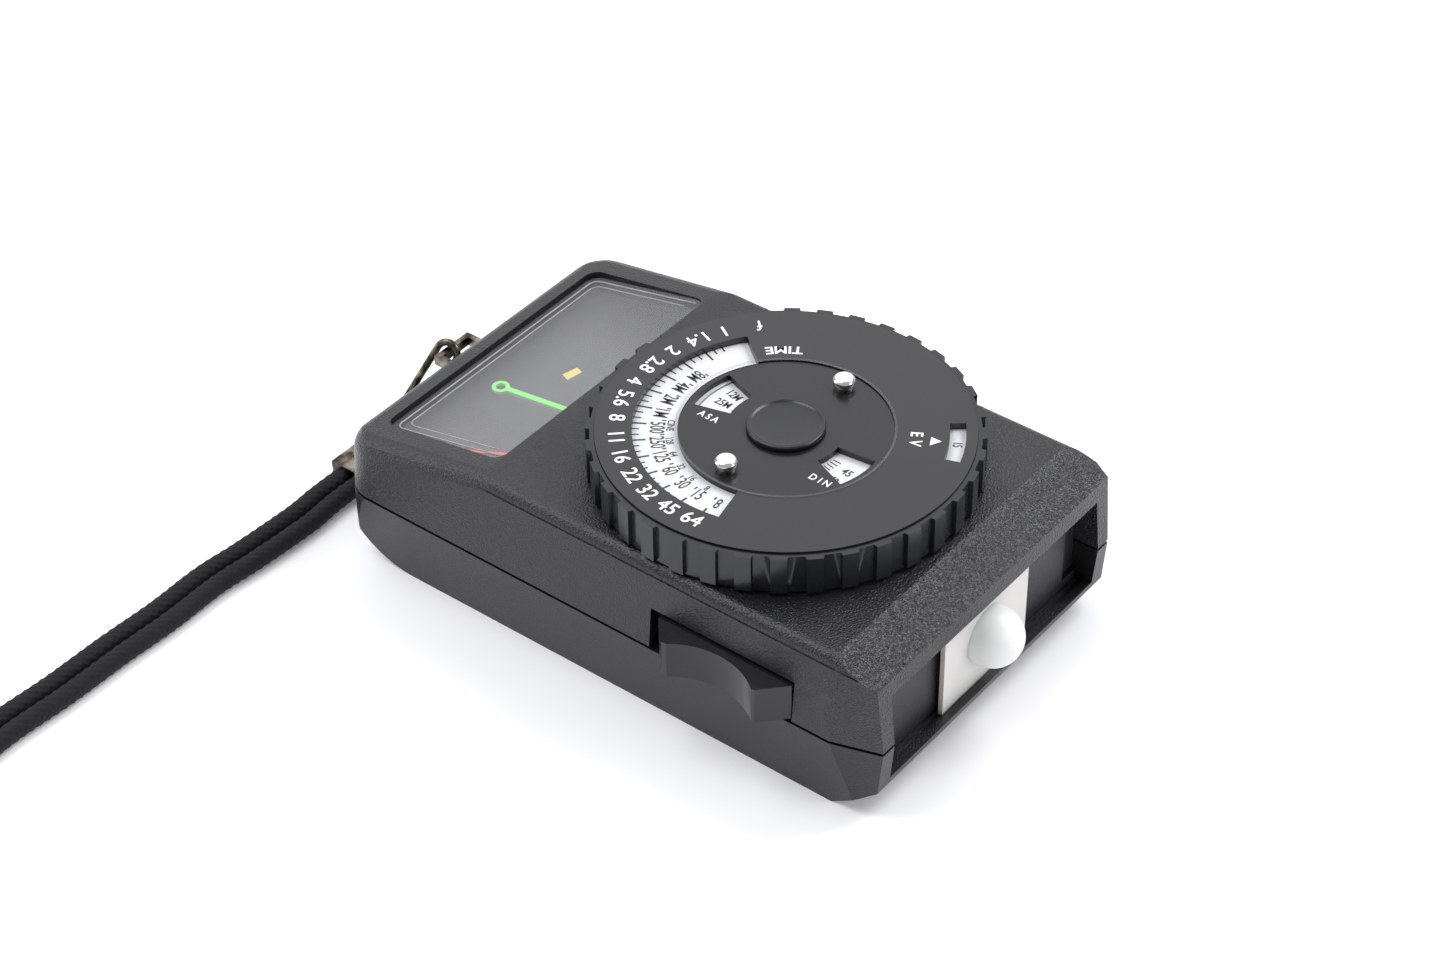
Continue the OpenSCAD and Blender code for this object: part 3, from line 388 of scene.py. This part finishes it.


# Painted highlight: the beads stand for the pane's real moulded edge, and their light grey colour paints the
# bright edge lines.
bead_painted_highlight = Finish("window_bead_painted_highlight", (0.3, 0.3, 0.31), 0.1)
bead_painted_highlight.tint(bead_painted_highlight.mottle(300.0), (0.2, 0.2, 0.21), (0.42, 0.42, 0.43))
bead_painted_highlight.gloss(bead_painted_highlight.mottle(900.0), 0.06, 0.2)
for bead_name, bead_inset, bead_size in (("window_bead_outer", 0.0011, 0.00013),
                                         ("window_bead_inner", 0.0024, 0.0001)):
    bead_points, bead_faces = bead_loop(bead_inset, bead_size, 0.0)
    new_piece(bead_name, bead_points, bead_faces, bead_painted_highlight.material, "body")

# ---------------------------------------------------------------------------------------------------
# Scale plate. Grey painted aluminium under the needles, with one printed yellow mark.
plate_paint = Finish("scale_plate_paint", (0.05, 0.05, 0.053), 0.55)
plate_paint.tint(plate_paint.between(plate_paint.mottle(400.0, 3.0), 0.3, 0.7, 0, 1),
                 (0.052, 0.052, 0.056), (0.062, 0.062, 0.067))
plate_paint.gloss(plate_paint.mottle(700.0), 0.5, 0.65)
plate_paint.relief(plate_paint.mottle(2000.0), 0.0000006)
dress(plate_paint, "scale_plate")
MARK = 0.001 * np.array([[-6.6, -49.05], [-6.0, -47.5], [-8.95, -46.95], [-9.4, -48.35]])
MARK_T = 0.00004
mark_yellow = Finish("index_yellow_ink", (0.72, 0.56, 0.12), 0.5)
mark_yellow.tint(mark_yellow.mottle(900.0), (0.66, 0.5, 0.1), (0.8, 0.64, 0.18))
mark_yellow.gloss(mark_yellow.mottle(1500.0), 0.42, 0.6)
mark_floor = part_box("scale_plate")[1].z
mark_low = np.column_stack([MARK, np.full(4, mark_floor)])
mark_points = np.vstack([mark_low, mark_low + [0, 0, MARK_T]])
mark_faces = [(3, 2, 1, 0), (4, 5, 6, 7), (0, 1, 5, 4), (1, 2, 6, 5), (2, 3, 7, 6), (3, 0, 4, 7)]
new_piece("scale_plate_mark", mark_points, mark_faces, mark_yellow.material, "body", False)

# ---------------------------------------------------------------------------------------------------
# Follow pointer and meter needle. The green plastic pointer ends in a ring that is set over the thin red
# lacquered needle of the meter movement. Both are given a faint painted glow, though neither is a lamp.
green = Finish("pointer_green_plastic_painted_glow", (0.16, 0.6, 0.1), 0.35)
# Painted glow: the pointer emits a little green light of its own.
green.shader.inputs["Emission Color"].default_value = (0.2, 0.8, 0.12, 1)
green.shader.inputs["Emission Strength"].default_value = 0.12
green.tint(green.mottle(500.0), (0.14, 0.58, 0.09), (0.2, 0.66, 0.13))
green.gloss(green.mottle(300.0), 0.3, 0.42)
dress(green, "follow_pointer")
red = Finish("needle_red_lacquer_painted_glow", (0.7, 0.03, 0.02), 0.35)
# Painted glow: the needle emits a little red light of its own.
red.shader.inputs["Emission Color"].default_value = (0.9, 0.05, 0.03, 1)
red.shader.inputs["Emission Strength"].default_value = 0.15
red.tint(red.mottle(600.0), (0.66, 0.03, 0.02), (0.78, 0.05, 0.035))
red.gloss(red.mottle(900.0), 0.28, 0.42)
dress(red, "meter_needle")

# ---------------------------------------------------------------------------------------------------
# Calculator dial. A ribbed black grip ring carries the exposure disc, and both turn on the fixed post.
# The disc is satin black acrylic, silk-screened in white with the f-numbers and its two indexes.
DISC_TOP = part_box("exposure_disc")[1].z
INK_T = 0.00003
F_RADIUS = 0.02485
F_CAP = 0.0024
F_NUMBERS = (("1", -121.0), ("1.4", -110.6), ("2", -99.9), ("2.8", -89.2), ("4", -78.7), ("5.6", -68.2),
             ("8", -57.5), ("11", -47.0), ("16", -36.2), ("22", -25.8), ("32", -15.6), ("45", -5.6),
             ("64", 4.6))

ring_plastic = grained_plastic(
    "grip_ring_plastic", (0.009, 0.0102, 0.0125), (0.014, 0.016, 0.02), 1500.0, 0.000008, 0.2, 0.3)
dress(ring_plastic, "grip_ring")
disc_plastic = grained_plastic(
    "exposure_disc_acrylic", (0.0095, 0.0095, 0.0108), (0.0125, 0.0125, 0.014), 900.0, 0.000003, 0.26, 0.33)
disc_plastic.shader.inputs["Coat Weight"].default_value = 0.15
disc_plastic.shader.inputs["Coat Roughness"].default_value = 0.2
dress(disc_plastic, "exposure_disc")


def lettering(words, stretch, weight):
    """Vertices and faces of a word in the plain built-in type, one unit high in its capitals, centred on
    the origin, and closed: a thin slab between heights nought and one."""
    type_data = bpy.data.curves.new("type", "FONT")
    type_data.resolution_u = 4
    type_data.extrude = 0.5
    type_data.offset = weight
    type_data.body = "H"
    type_piece = bpy.data.objects.new("type", type_data)
    bpy.context.scene.collection.objects.link(type_piece)
    found = []
    for body in ("H", words):
        type_data.body = body
        bpy.context.view_layer.update()
        made = bpy.data.meshes.new_from_object(
            type_piece.evaluated_get(bpy.context.evaluated_depsgraph_get()))
        at = np.zeros(len(made.vertices) * 3)
        made.vertices.foreach_get("co", at)
        found.append((at.reshape(-1, 3), [tuple(f.vertices) for f in made.polygons]))
        bpy.data.meshes.remove(made)
    bpy.data.objects.remove(type_piece)
    bpy.data.curves.remove(type_data)
    capital = found[0][0]
    points, faces = found[1]
    height = np.ptp(capital[:, 1])
    points = points - [(points[:, 0].min() + points[:, 0].max()) / 2, capital[:, 1].min() + height / 2, 0]
    points = points / height * [stretch, 1, 0]
    points[:, 2] = found[1][0][:, 2] > 0
    return points, faces


def merged(piece):
    """Joins the points of a piece that lie in one place, as at a pole or a seam."""
    work = bmesh.new()
    work.from_mesh(piece.data)
    bmesh.ops.remove_doubles(work, verts=work.verts, dist=1e-7)
    work.to_mesh(piece.data)
    work.free()
    return piece


class Print:
    """Ink that is being laid on one flat face: it collects closed slabs of the ink's thickness."""

    def __init__(self, z):
        self.z = z
        self.points = []
        self.faces = []
        self.count = 0

    def lay(self, points, faces):
        """Adds a slab whose points have X and Y in place and Z nought or one."""
        points = points * [1, 1, INK_T] + [0, 0, self.z]
        self.faces += [tuple(i + self.count for i in face) for face in faces]
        self.points.append(points)
        self.count += len(points)

    def word(self, words, x, y, reading, cap, stretch=0.8, weight=0.0):
        """A word centred at x and y, that reads along the direction reading, in degrees."""
        points, faces = lettering(words, stretch, weight)
        c, s = np.cos(np.radians(reading)), np.sin(np.radians(reading))
        px, py = points[:, 0] * cap, points[:, 1] * cap
        self.lay(np.stack([x + px * c - py * s, y + px * s + py * c, points[:, 2]], 1), faces)

    def on_arc(self, words, radius, at, cap, stretch=0.8, weight=0.0, outward=False):
        """A word at a radius and an angle, its letters standing towards the centre, or outward."""
        x, y = radius * np.cos(np.radians(at)), radius * np.sin(np.radians(at))
        self.word(words, x, y, at - 90 if outward else at + 90, cap, stretch, weight)

    def outline(self, x, y):
        """A slab with the outline x, y, given counter-clockwise."""
        n = len(x)
        low = np.stack([x, y, np.zeros(n)], 1)
        high = np.stack([x, y, np.ones(n)], 1)
        i = np.arange(n)
        sides = np.stack([i, (i + 1) % n, (i + 1) % n + n, i + n], 1).tolist()
        self.lay(np.vstack([low, high]), [tuple(range(n - 1, -1, -1)), tuple(range(n, 2 * n)), *sides])

    def tick(self, r0, r1, at, width):
        """A radial line from r0 to r1 at an angle."""
        c, s = np.cos(np.radians(at)), np.sin(np.radians(at))
        u = np.array([r0, r1, r1, r0])
        v = np.array([-width, -width, width, width]) / 2
        self.outline(u * c - v * s, u * s + v * c)

    def piece(self, name, finish, body, slot):
        """The finished ink as one piece on a body."""
        return merged(new_piece(name, np.vstack(self.points), self.faces, finish, body, False))


white_ink = Finish("white_ink", (0.8, 0.8, 0.8), 0.5)
white_ink.tint(white_ink.mottle(2500.0), (0.74, 0.74, 0.74), (0.86, 0.86, 0.86))
white_ink.gloss(white_ink.mottle(1800.0), 0.42, 0.6)
disc_print = Print(DISC_TOP)
disc_print.on_arc("f", F_RADIUS, -133.6, F_CAP, 0.9, 0.012)
for f_number, f_angle in F_NUMBERS:
    disc_print.on_arc(f_number, F_RADIUS, f_angle, F_CAP, 0.95, 0.012)
for letter, letter_angle in zip("TIME", (-148.6, -144.9, -140.6, -135.2)):
    disc_print.on_arc(letter, 0.0184, letter_angle, 0.0018, 1.08, 0.02)
for letter, letter_angle in zip("EV", (121.6, 115.6)):
    disc_print.on_arc(letter, 0.0192, letter_angle, 0.00185, 0.85, 0.02, outward=True)
index_angle = np.radians([120.6, 115.3, 118.4])
index_radius = np.array([0.0213, 0.0213, 0.0229])
disc_print.outline(index_radius * np.cos(index_angle), index_radius * np.sin(index_angle))
disc_print.piece("exposure_disc_print", white_ink.material, "dial", "disc_black")

# ---------------------------------------------------------------------------------------------------
# Time scale. A white plastic ring under the disc, printed in black, which turns with the film speed
# disc. It has the shutter times, a row of film frame rates and, further out, the exposure values.
TIMES_AT = 6.1
STOP = 10.42
TIMES = ("8", "15", "30", "60", "125", "250", "500", "1M", "2M", "4M", "8M")
FRAMES = ("8", "16", "32", "64", "128")

scale_paper = Finish("scale_white_plastic", (0.65, 0.66, 0.67), 0.4)
scale_paper.tint(scale_paper.mottle(220.0, 3.0), (0.62, 0.625, 0.64), (0.69, 0.695, 0.7))
scale_paper.gloss(scale_paper.mottle(500.0), 0.35, 0.48)
dress(scale_paper, "time_scale", "speed_scale")
black_ink = Finish("black_ink", (0.03, 0.03, 0.032), 0.5)
black_ink.tint(black_ink.mottle(2500.0), (0.022, 0.022, 0.024), (0.05, 0.05, 0.052))
black_ink.gloss(black_ink.mottle(1800.0), 0.42, 0.6)
time_print = Print(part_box("time_scale")[1].z)
for step, words in enumerate(TIMES):
    time_angle = TIMES_AT - STOP * step
    time_print.on_arc(words, 0.0189, time_angle, 0.0022, 0.58, 0.008)
    time_print.tick(0.0178, 0.01845, time_angle - 1.3 * len(words) - 1.6, 0.00024)
for step, words in enumerate(("4", "2", "1", "2", "4", "8", "15", "30")):
    time_print.on_arc(words, 0.0190, TIMES_AT + STOP * (step + 1), 0.0022, 0.58, 0.008)
for step, words in enumerate(FRAMES):
    time_print.on_arc(words, 0.0171, TIMES_AT - 0.8 - STOP * (step + 0.95), 0.00112, 0.72, 0.012)
time_print.on_arc("CINE", 0.0170, -58.4, 0.00112, 0.72, 0.012)
for step in range(-35, 37):
    long = step % 3 == 0
    time_print.tick(0.0206 if long else 0.0216, 0.0234, TIMES_AT - 2.3 + STOP * step / 3,
                    0.00032 if long else 0.00024)
for value in range(1, 25):
    time_print.on_arc(str(value), 0.0252, 120.7 + 10.3 * (15 - value), 0.0014, 0.66, 0.018, outward=True)
time_print.piece("time_scale_print", black_ink.material, "film_speed_disc", "scale_white")

# ---------------------------------------------------------------------------------------------------
# Film speed scale. A white plastic ring fixed to the post, printed with film speeds that read inward
# on one side and their degrees, which read outward, on the other.
SPEEDS = ("25M", "12M", "6M", "3M", "1600", "800", "400", "200", "100", "50", "25", "12")
SPEED_STEP = 11.9

speed_print = Print(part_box("speed_scale")[1].z)
for step, words in enumerate(SPEEDS):
    speed_at = np.radians(-90.6 - SPEED_STEP * step)
    speed_print.word(words, 0.0117 * np.cos(speed_at), 0.0117 * np.sin(speed_at),
                     np.degrees(speed_at) + 180, 0.00145, 0.76, 0.016)
    degree_at = np.radians(81.5 - SPEED_STEP * step)
    speed_print.word(str(45 - 3 * step), 0.0126 * np.cos(degree_at), 0.0126 * np.sin(degree_at),
                     np.degrees(degree_at), 0.00145, 0.8, 0.016)
for step in range(0, 36):
    speed_print.tick(0.0089, 0.0096, -90.6 - SPEED_STEP * (step / 3 - 0.33), 0.00018)
    speed_print.tick(0.0092, 0.0106, 85.5 - SPEED_STEP * step / 3, 0.00018)
speed_print.piece("speed_scale_print", black_ink.material, "body", "speed_white")

# ---------------------------------------------------------------------------------------------------
# Film speed disc. Black printed acrylic with a clear rolled edge that laps the exposure disc. Two
# polished steel pins, pressed in and eased at the top edge, turn it.
EDGE_R = 0.01612
PIN_RADIUS = 0.0129
PIN_AT = np.radians([-5.0, 175.0])
PIN_PROFILE = 0.001 * np.array([
    [0.0, 34.5], [1.5, 34.5], [1.5, 35.3], [1.54, 35.36], [1.66, 35.4], [1.7, 35.45], [1.7, 36.0],
    [1.685, 36.1],
    [1.64, 36.18], [1.4, 36.4], [1.33, 36.45], [1.24, 36.475], [0.6, 36.485], [0.0, 36.485]])


def turned(profile, sides, at=(0.0, 0.0)):
    """Surface of revolution: each radius and height of the profile is carried round an upright axis at
    the place given. Points go ring by ring, and the faces look outward for a profile that climbs."""
    around = np.linspace(0, 2 * np.pi, sides, endpoint=False)
    r, z = profile[:, 0][:, None], profile[:, 1][:, None]
    points = np.stack([at[0] + r * np.cos(around), at[1] + r * np.sin(around), z + 0 * around], -1)
    return points.reshape(-1, 3), grid_faces(len(profile), sides, True)


speed_plastic = grained_plastic(
    "speed_disc_acrylic", (0.009, 0.009, 0.0103), (0.0115, 0.0115, 0.013), 1100.0, 0.000003, 0.22, 0.3)
dress(speed_plastic, "speed_disc")
clear_edge = Finish("speed_disc_clear_edge", (0.5, 0.5, 0.51), 0.12)
clear_edge.shader.inputs["Alpha"].default_value = 0.16
clear_edge.tint(clear_edge.mottle(300.0), (0.12, 0.12, 0.13), (0.3, 0.3, 0.31))
clear_edge.gloss(clear_edge.mottle(700.0), 0.08, 0.18)
edge_turn = np.linspace(0, 2 * np.pi, 16, endpoint=False)
edge_profile = np.stack([EDGE_R + 0.00022 * np.cos(edge_turn),
                         DISC_TOP + 0.00010 + 0.00009 * np.sin(edge_turn)], 1)
edge_points, edge_faces = turned(np.vstack([edge_profile, edge_profile[:1]]), 160)
merged(new_piece("speed_disc_edge", edge_points, edge_faces, clear_edge.material, "film_speed_disc"))
speed_words = Print(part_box("speed_disc")[1].z)
for words, word_y, word_x in (("ASA", -0.01057, 0.00482), ("DIN", 0.01120, 0.00672)):
    for letter, step in zip(words, (-0.00122, 0.0, 0.00122)):
        speed_words.word(letter, word_x, word_y + step, 90.0, 0.0013, 0.85, 0.015)
speed_words.piece("speed_disc_print", white_ink.material, "film_speed_disc", "speed_black")
chrome = Finish("pin_chrome_plate", (0.82, 0.8, 0.77), 0.12, 1.0)
chrome.tint(chrome.mottle(600.0), (0.8, 0.78, 0.75), (0.86, 0.84, 0.81))
chrome.gloss(chrome.mottle(900.0, 3.0), 0.08, 0.18)
pin_sets = [turned(PIN_PROFILE, 48, (PIN_RADIUS * np.cos(a), PIN_RADIUS * np.sin(a))) for a in PIN_AT]
pin_count = len(pin_sets[0][0])
pins = merged(new_piece(
    "polished_pins", np.vstack([points for points, faces in pin_sets]),
    np.vstack([pin_sets[0][1], pin_sets[1][1] + pin_count]), chrome.material, "film_speed_disc"))
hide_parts("speed_pins")

# ---------------------------------------------------------------------------------------------------
# Centre cap. Black moulded plastic, pressed on the post: a shallow dish inside a narrow rounded rim,
# with the fine circular marks of the tool that cut its mould.
CAP_PROFILE = 0.001 * np.array([
    [0.0, 34.6], [5.7, 34.6], [5.84, 34.66], [5.9, 34.8], [5.9, 35.12], [5.86, 35.26], [5.76, 35.36],
    [5.6, 35.4],
    [5.44, 35.38], [5.28, 35.31], [5.16, 35.22], [4.96, 35.17], [4.3, 35.12], [3.4, 35.06], [2.4, 35.02],
    [1.2, 34.99], [0.0, 34.98]])

cap_plastic = grained_plastic(
    "centre_cap_plastic", (0.009, 0.0095, 0.0115), (0.013, 0.0135, 0.0155), 1600.0, 0.000003, 0.24, 0.32)
cap_marks = cap_plastic.nodes.new("ShaderNodeTexWave")
cap_marks.wave_type = "RINGS"
cap_marks.rings_direction = "Z"
cap_marks.inputs["Scale"].default_value = 1500.0
cap_marks.inputs["Distortion"].default_value = 0.4
cap_plastic.join(cap_plastic.place, cap_marks.inputs["Vector"])
cap_plastic.relief(cap_marks.outputs["Fac"], 0.000004)
cap_points, cap_faces = turned(CAP_PROFILE, 96)
cap = merged(new_piece("dished_cap", cap_points, cap_faces, cap_plastic.material, "body"))
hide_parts("centre_cap")

# ---------------------------------------------------------------------------------------------------
# Sensor end. A sliding opal plate with a moulded half-round diffuser dome runs in front of the black
# baffle over the photocell.
opal = Finish("diffuser_opal_plate", (0.65, 0.625, 0.6), 0.35)
opal.shader.inputs["Subsurface Weight"].default_value = 0.3
opal.shader.inputs["Subsurface Scale"].default_value = 0.002
opal.tint(opal.mottle(160.0), (0.62, 0.595, 0.57), (0.68, 0.655, 0.63))
opal.gloss(opal.mottle(400.0), 0.28, 0.42)
dress(opal, "diffuser_plate")
dome = Finish("diffuser_opal_dome", (0.8, 0.79, 0.76), 0.38)
dome.shader.inputs["Subsurface Weight"].default_value = 0.4
dome.shader.inputs["Subsurface Scale"].default_value = 0.003
dome.tint(dome.mottle(140.0), (0.8, 0.775, 0.755), (0.86, 0.835, 0.81))
dome.gloss(dome.mottle(400.0), 0.32, 0.45)
dress(dome, "diffuser_dome")
baffle_plastic = grained_plastic(
    "sensor_baffle_plastic", (0.0065, 0.0068, 0.0076), (0.011, 0.0115, 0.0125), 3600.0, 0.00008, 0.38, 0.5)
dress(baffle_plastic, "sensor_block")

# ---------------------------------------------------------------------------------------------------
# Photocell. A tinned can behind the baffle holds the silicon cell, and a blue-green filter glass is
# cemented over its mouth to match the cell to the eye.
can_metal = Finish("cell_can_tin", (0.5, 0.5, 0.49), 0.34, 1.0)
can_metal.tint(can_metal.mottle(500.0, 4.0), (0.42, 0.42, 0.41), (0.58, 0.58, 0.57))
can_metal.gloss(can_metal.mottle(900.0, 3.0), 0.26, 0.44)
can_metal.relief(can_metal.mottle(2400.0), 0.00001)
dress(can_metal, "photocell")
filter_glass = Finish("cell_filter_glass", (0.06, 0.2, 0.22), 0.06)
filter_glass.shader.inputs["IOR"].default_value = 1.52
filter_glass.shader.inputs["Alpha"].default_value = 0.85
filter_glass.tint(filter_glass.mottle(220.0), (0.05, 0.17, 0.19), (0.07, 0.23, 0.26))
filter_glass.gloss(filter_glass.mottle(700.0, 3.0), 0.04, 0.1)
dress(filter_glass, "cell_filter")

# ---------------------------------------------------------------------------------------------------
# Thumb switch. A smooth black rocker, scooped for the thumb, that slides in a slot in the side wall.
switch_plastic = grained_plastic(
    "thumb_switch_plastic", (0.008, 0.0084, 0.0092), (0.0125, 0.013, 0.0145), 1600.0, 0.000006, 0.2, 0.3)
dress(switch_plastic, "thumb_switch")

# ---------------------------------------------------------------------------------------------------
# Switch shoe and contact. A grey acetal shoe snaps on the thumb switch inside the wall, and presses a
# leaf of spring brass down on the circuit board.
acetal = Finish("switch_shoe_acetal", (0.36, 0.36, 0.35), 0.42)
acetal.tint(acetal.mottle(260.0, 3.0), (0.33, 0.33, 0.32), (0.4, 0.4, 0.385))
acetal.gloss(acetal.mottle(600.0), 0.36, 0.5)
acetal.relief(acetal.mottle(2200.0), 0.000008)
dress(acetal, "switch_shoe")


def rolled_metal(name, dull, bright, low, high, grain, stretch):
    """Rolled or drawn metal: noise drawn out along one axis by stretch, for the marks of the rolls, over
    soft tarnished patches."""
    finish = Finish(name, bright, (low + high) / 2, 1.0)
    drawn = finish.nodes.new("ShaderNodeMapping")
    drawn.inputs["Scale"].default_value = stretch
    finish.join(finish.place, drawn.inputs["Vector"])
    marks = finish.mottle(grain, 3.0, 0.6, drawn.outputs["Vector"])
    tarnish = finish.mottle(240.0, 4.0, 0.6)
    finish.tint(finish.between(tarnish, 0.32, 0.68, 0, 1), dull, bright)
    finish.gloss(marks, low, high)
    finish.relief(marks, 0.000008)
    return finish


spring_brass = rolled_metal("contact_leaf_brass", (0.52, 0.36, 0.14), (0.78, 0.58, 0.28), 0.22, 0.4, 1400.0,
                            (0.1, 1, 1))
dress(spring_brass, "switch_contact")

# ---------------------------------------------------------------------------------------------------
# Strap bracket, link and clasp. Nickel-plated steel: a stamped lug in the window end, a bent wire
# link, and a folded clasp over the two ends of the cord.
nickel = Finish("strap_nickel", (0.55, 0.52, 0.46), 0.28, 1.0)
nickel.tint(nickel.between(nickel.mottle(420.0, 4.0), 0.4, 0.62, 0, 1), (0.05, 0.042, 0.032),
            (0.3, 0.265, 0.21))
nickel.gloss(nickel.mottle(650.0, 4.0), 0.2, 0.42)
nickel.relief(nickel.mottle(2600.0), 0.00002)
dress(nickel, "strap_lug", "strap_link", "strap_clasp")

# ---------------------------------------------------------------------------------------------------
# Cover screws. Four long countersunk steel screws, blackened, that hold the rear cover to the bosses
# of the front cover.
black_steel = rolled_metal("cover_screw_steel", (0.05, 0.05, 0.052), (0.13, 0.13, 0.135), 0.24, 0.42, 1600.0,
                           (1, 1, 0.2))
dress(black_steel, "shell_screws")

# ---------------------------------------------------------------------------------------------------
# Dial post and gear train. A turned steel post carries the dials. The dial's brass gear drives the
# idler gear and its pinion, on a steel axle, and the pinion drives the toothed brass sector.
turned_steel = rolled_metal("dial_post_steel", (0.42, 0.42, 0.43), (0.62, 0.62, 0.63), 0.2, 0.34, 1800.0,
                            (1, 1, 6))
dress(turned_steel, "dial_post", "idler_axle")
gear_brass = rolled_metal("gear_brass", (0.5, 0.36, 0.15), (0.76, 0.58, 0.29), 0.24, 0.42, 1200.0,
                          (1, 1, 0.15))
dress(gear_brass, "dial_gear", "idler_gear", "idler_pinion")
sector_brass = rolled_metal("pointer_sector_brass", (0.48, 0.34, 0.14), (0.72, 0.54, 0.26), 0.26, 0.44,
                            1200.0, (0.12, 1, 1))
dress(sector_brass, "pointer_sector")
bright_steel = rolled_metal("small_screw_steel", (0.46, 0.46, 0.47), (0.7, 0.7, 0.71), 0.18, 0.34, 1700.0,
                            (0.25, 1, 1))
dress(bright_steel, "pointer_screw", "plate_screws")

# ---------------------------------------------------------------------------------------------------
# Meter movement. An enamelled copper coil turns on hardened steel pivots between the soft iron yoke
# and the cast magnet, and a flat bronze hairspring brings it back.
staff_steel = rolled_metal("needle_staff_steel", (0.4, 0.4, 0.42), (0.66, 0.66, 0.68), 0.12, 0.24, 2400.0,
                           (1, 1, 0.3))
dress(staff_steel, "needle_staff")
coil_wire = Finish("coil_enamelled_copper", (0.45, 0.16, 0.07), 0.3, 0.8)
coil_turns = coil_wire.nodes.new("ShaderNodeTexWave")
coil_turns.bands_direction = "Z"
coil_turns.inputs["Scale"].default_value = 1600.0
coil_turns.inputs["Distortion"].default_value = 0.6
coil_wire.join(coil_wire.place, coil_turns.inputs["Vector"])
coil_wire.tint(coil_turns.outputs["Fac"], (0.3, 0.09, 0.04), (0.6, 0.24, 0.1))
coil_wire.gloss(coil_wire.mottle(900.0), 0.24, 0.4)
coil_wire.relief(coil_turns.outputs["Fac"], 0.00004)
dress(coil_wire, "meter_coil")
hair_bronze = rolled_metal("hairspring_bronze", (0.5, 0.3, 0.14), (0.72, 0.48, 0.26), 0.2, 0.34, 2400.0,
                           (1, 1, 0.2))
dress(hair_bronze, "hairspring")
magnet_cast = Finish("magnet_cast_alloy", (0.2, 0.2, 0.205), 0.55, 0.9)
magnet_cast.tint(magnet_cast.mottle(700.0, 5.0, 0.65), (0.14, 0.14, 0.145), (0.27, 0.27, 0.275))
magnet_cast.gloss(magnet_cast.mottle(900.0, 3.0), 0.45, 0.66)
magnet_cast.relief(magnet_cast.mottle(1400.0, 4.0), 0.00003)
dress(magnet_cast, "meter_magnet")
yoke_iron = rolled_metal("yoke_soft_iron", (0.28, 0.28, 0.285), (0.44, 0.44, 0.445), 0.32, 0.5, 1100.0,
                         (0.2, 1, 1))
dress(yoke_iron, "meter_yoke")

# ---------------------------------------------------------------------------------------------------
# Mechanism plate. Rolled aluminium sheet, left bare, which carries the post, the idler and the meter
# movement, and is screwed to pillars in the front cover.
plate_metal = rolled_metal("mechanism_plate_aluminium", (0.58, 0.59, 0.6), (0.72, 0.73, 0.74), 0.3, 0.46,
                           900.0, (1, 0.06, 1))
dress(plate_metal, "mechanism_plate")

# ---------------------------------------------------------------------------------------------------
# Circuit board and chips. Green glass laminate with a visible cloth weave under its lacquer, and four
# black moulded epoxy packages.
laminate = Finish("board_green_laminate", (0.02, 0.12, 0.05), 0.3)
cloth_x = laminate.nodes.new("ShaderNodeTexWave")
cloth_x.bands_direction = "X"
cloth_x.inputs["Scale"].default_value = 420.0
laminate.join(laminate.place, cloth_x.inputs["Vector"])
cloth_y = laminate.nodes.new("ShaderNodeTexWave")
cloth_y.bands_direction = "Y"
cloth_y.inputs["Scale"].default_value = 420.0
laminate.join(laminate.place, cloth_y.inputs["Vector"])
cloth = laminate.sum("MAXIMUM", cloth_x.outputs["Fac"], cloth_y.outputs["Fac"])
laminate.tint(cloth, (0.012, 0.085, 0.035), (0.022, 0.13, 0.055))
laminate.gloss(laminate.mottle(300.0, 3.0), 0.24, 0.38)
laminate.relief(cloth, 0.00001)
dress(laminate, "circuit_board")
epoxy = Finish("chip_black_epoxy", (0.02, 0.02, 0.021), 0.55)
epoxy.tint(epoxy.mottle(900.0, 4.0), (0.016, 0.016, 0.017), (0.03, 0.03, 0.031))
epoxy.gloss(epoxy.mottle(1400.0), 0.5, 0.66)
epoxy.relief(epoxy.mottle(4200.0), 0.00001)
dress(epoxy, "amplifier_chips")

# ---------------------------------------------------------------------------------------------------
# Battery, contacts and door. A cell in a plain printed steel jacket lies between two nickel-plated
# spring contacts, under a ridged black plastic door that slides off along the back.
jacket = Finish("battery_steel_jacket", (0.1, 0.13, 0.22), 0.3, 0.7)
jacket.tint(jacket.mottle(260.0, 4.0), (0.08, 0.105, 0.18), (0.13, 0.17, 0.28))
jacket.gloss(jacket.mottle(700.0, 3.0), 0.22, 0.4)
jacket.relief(jacket.mottle(1600.0), 0.000008)
dress(jacket, "battery")
contact_nickel = rolled_metal("battery_contact_nickel", (0.5, 0.48, 0.44), (0.72, 0.7, 0.65), 0.18, 0.36,
                              1500.0, (1, 0.15, 1))
dress(contact_nickel, "contact_plus", "contact_minus")
door_plastic = grained_plastic(
    "battery_door_plastic", (0.0065, 0.0068, 0.0075), (0.011, 0.0115, 0.0125), 3600.0, 0.0001, 0.34, 0.46)
dress(door_plastic, "battery_door")
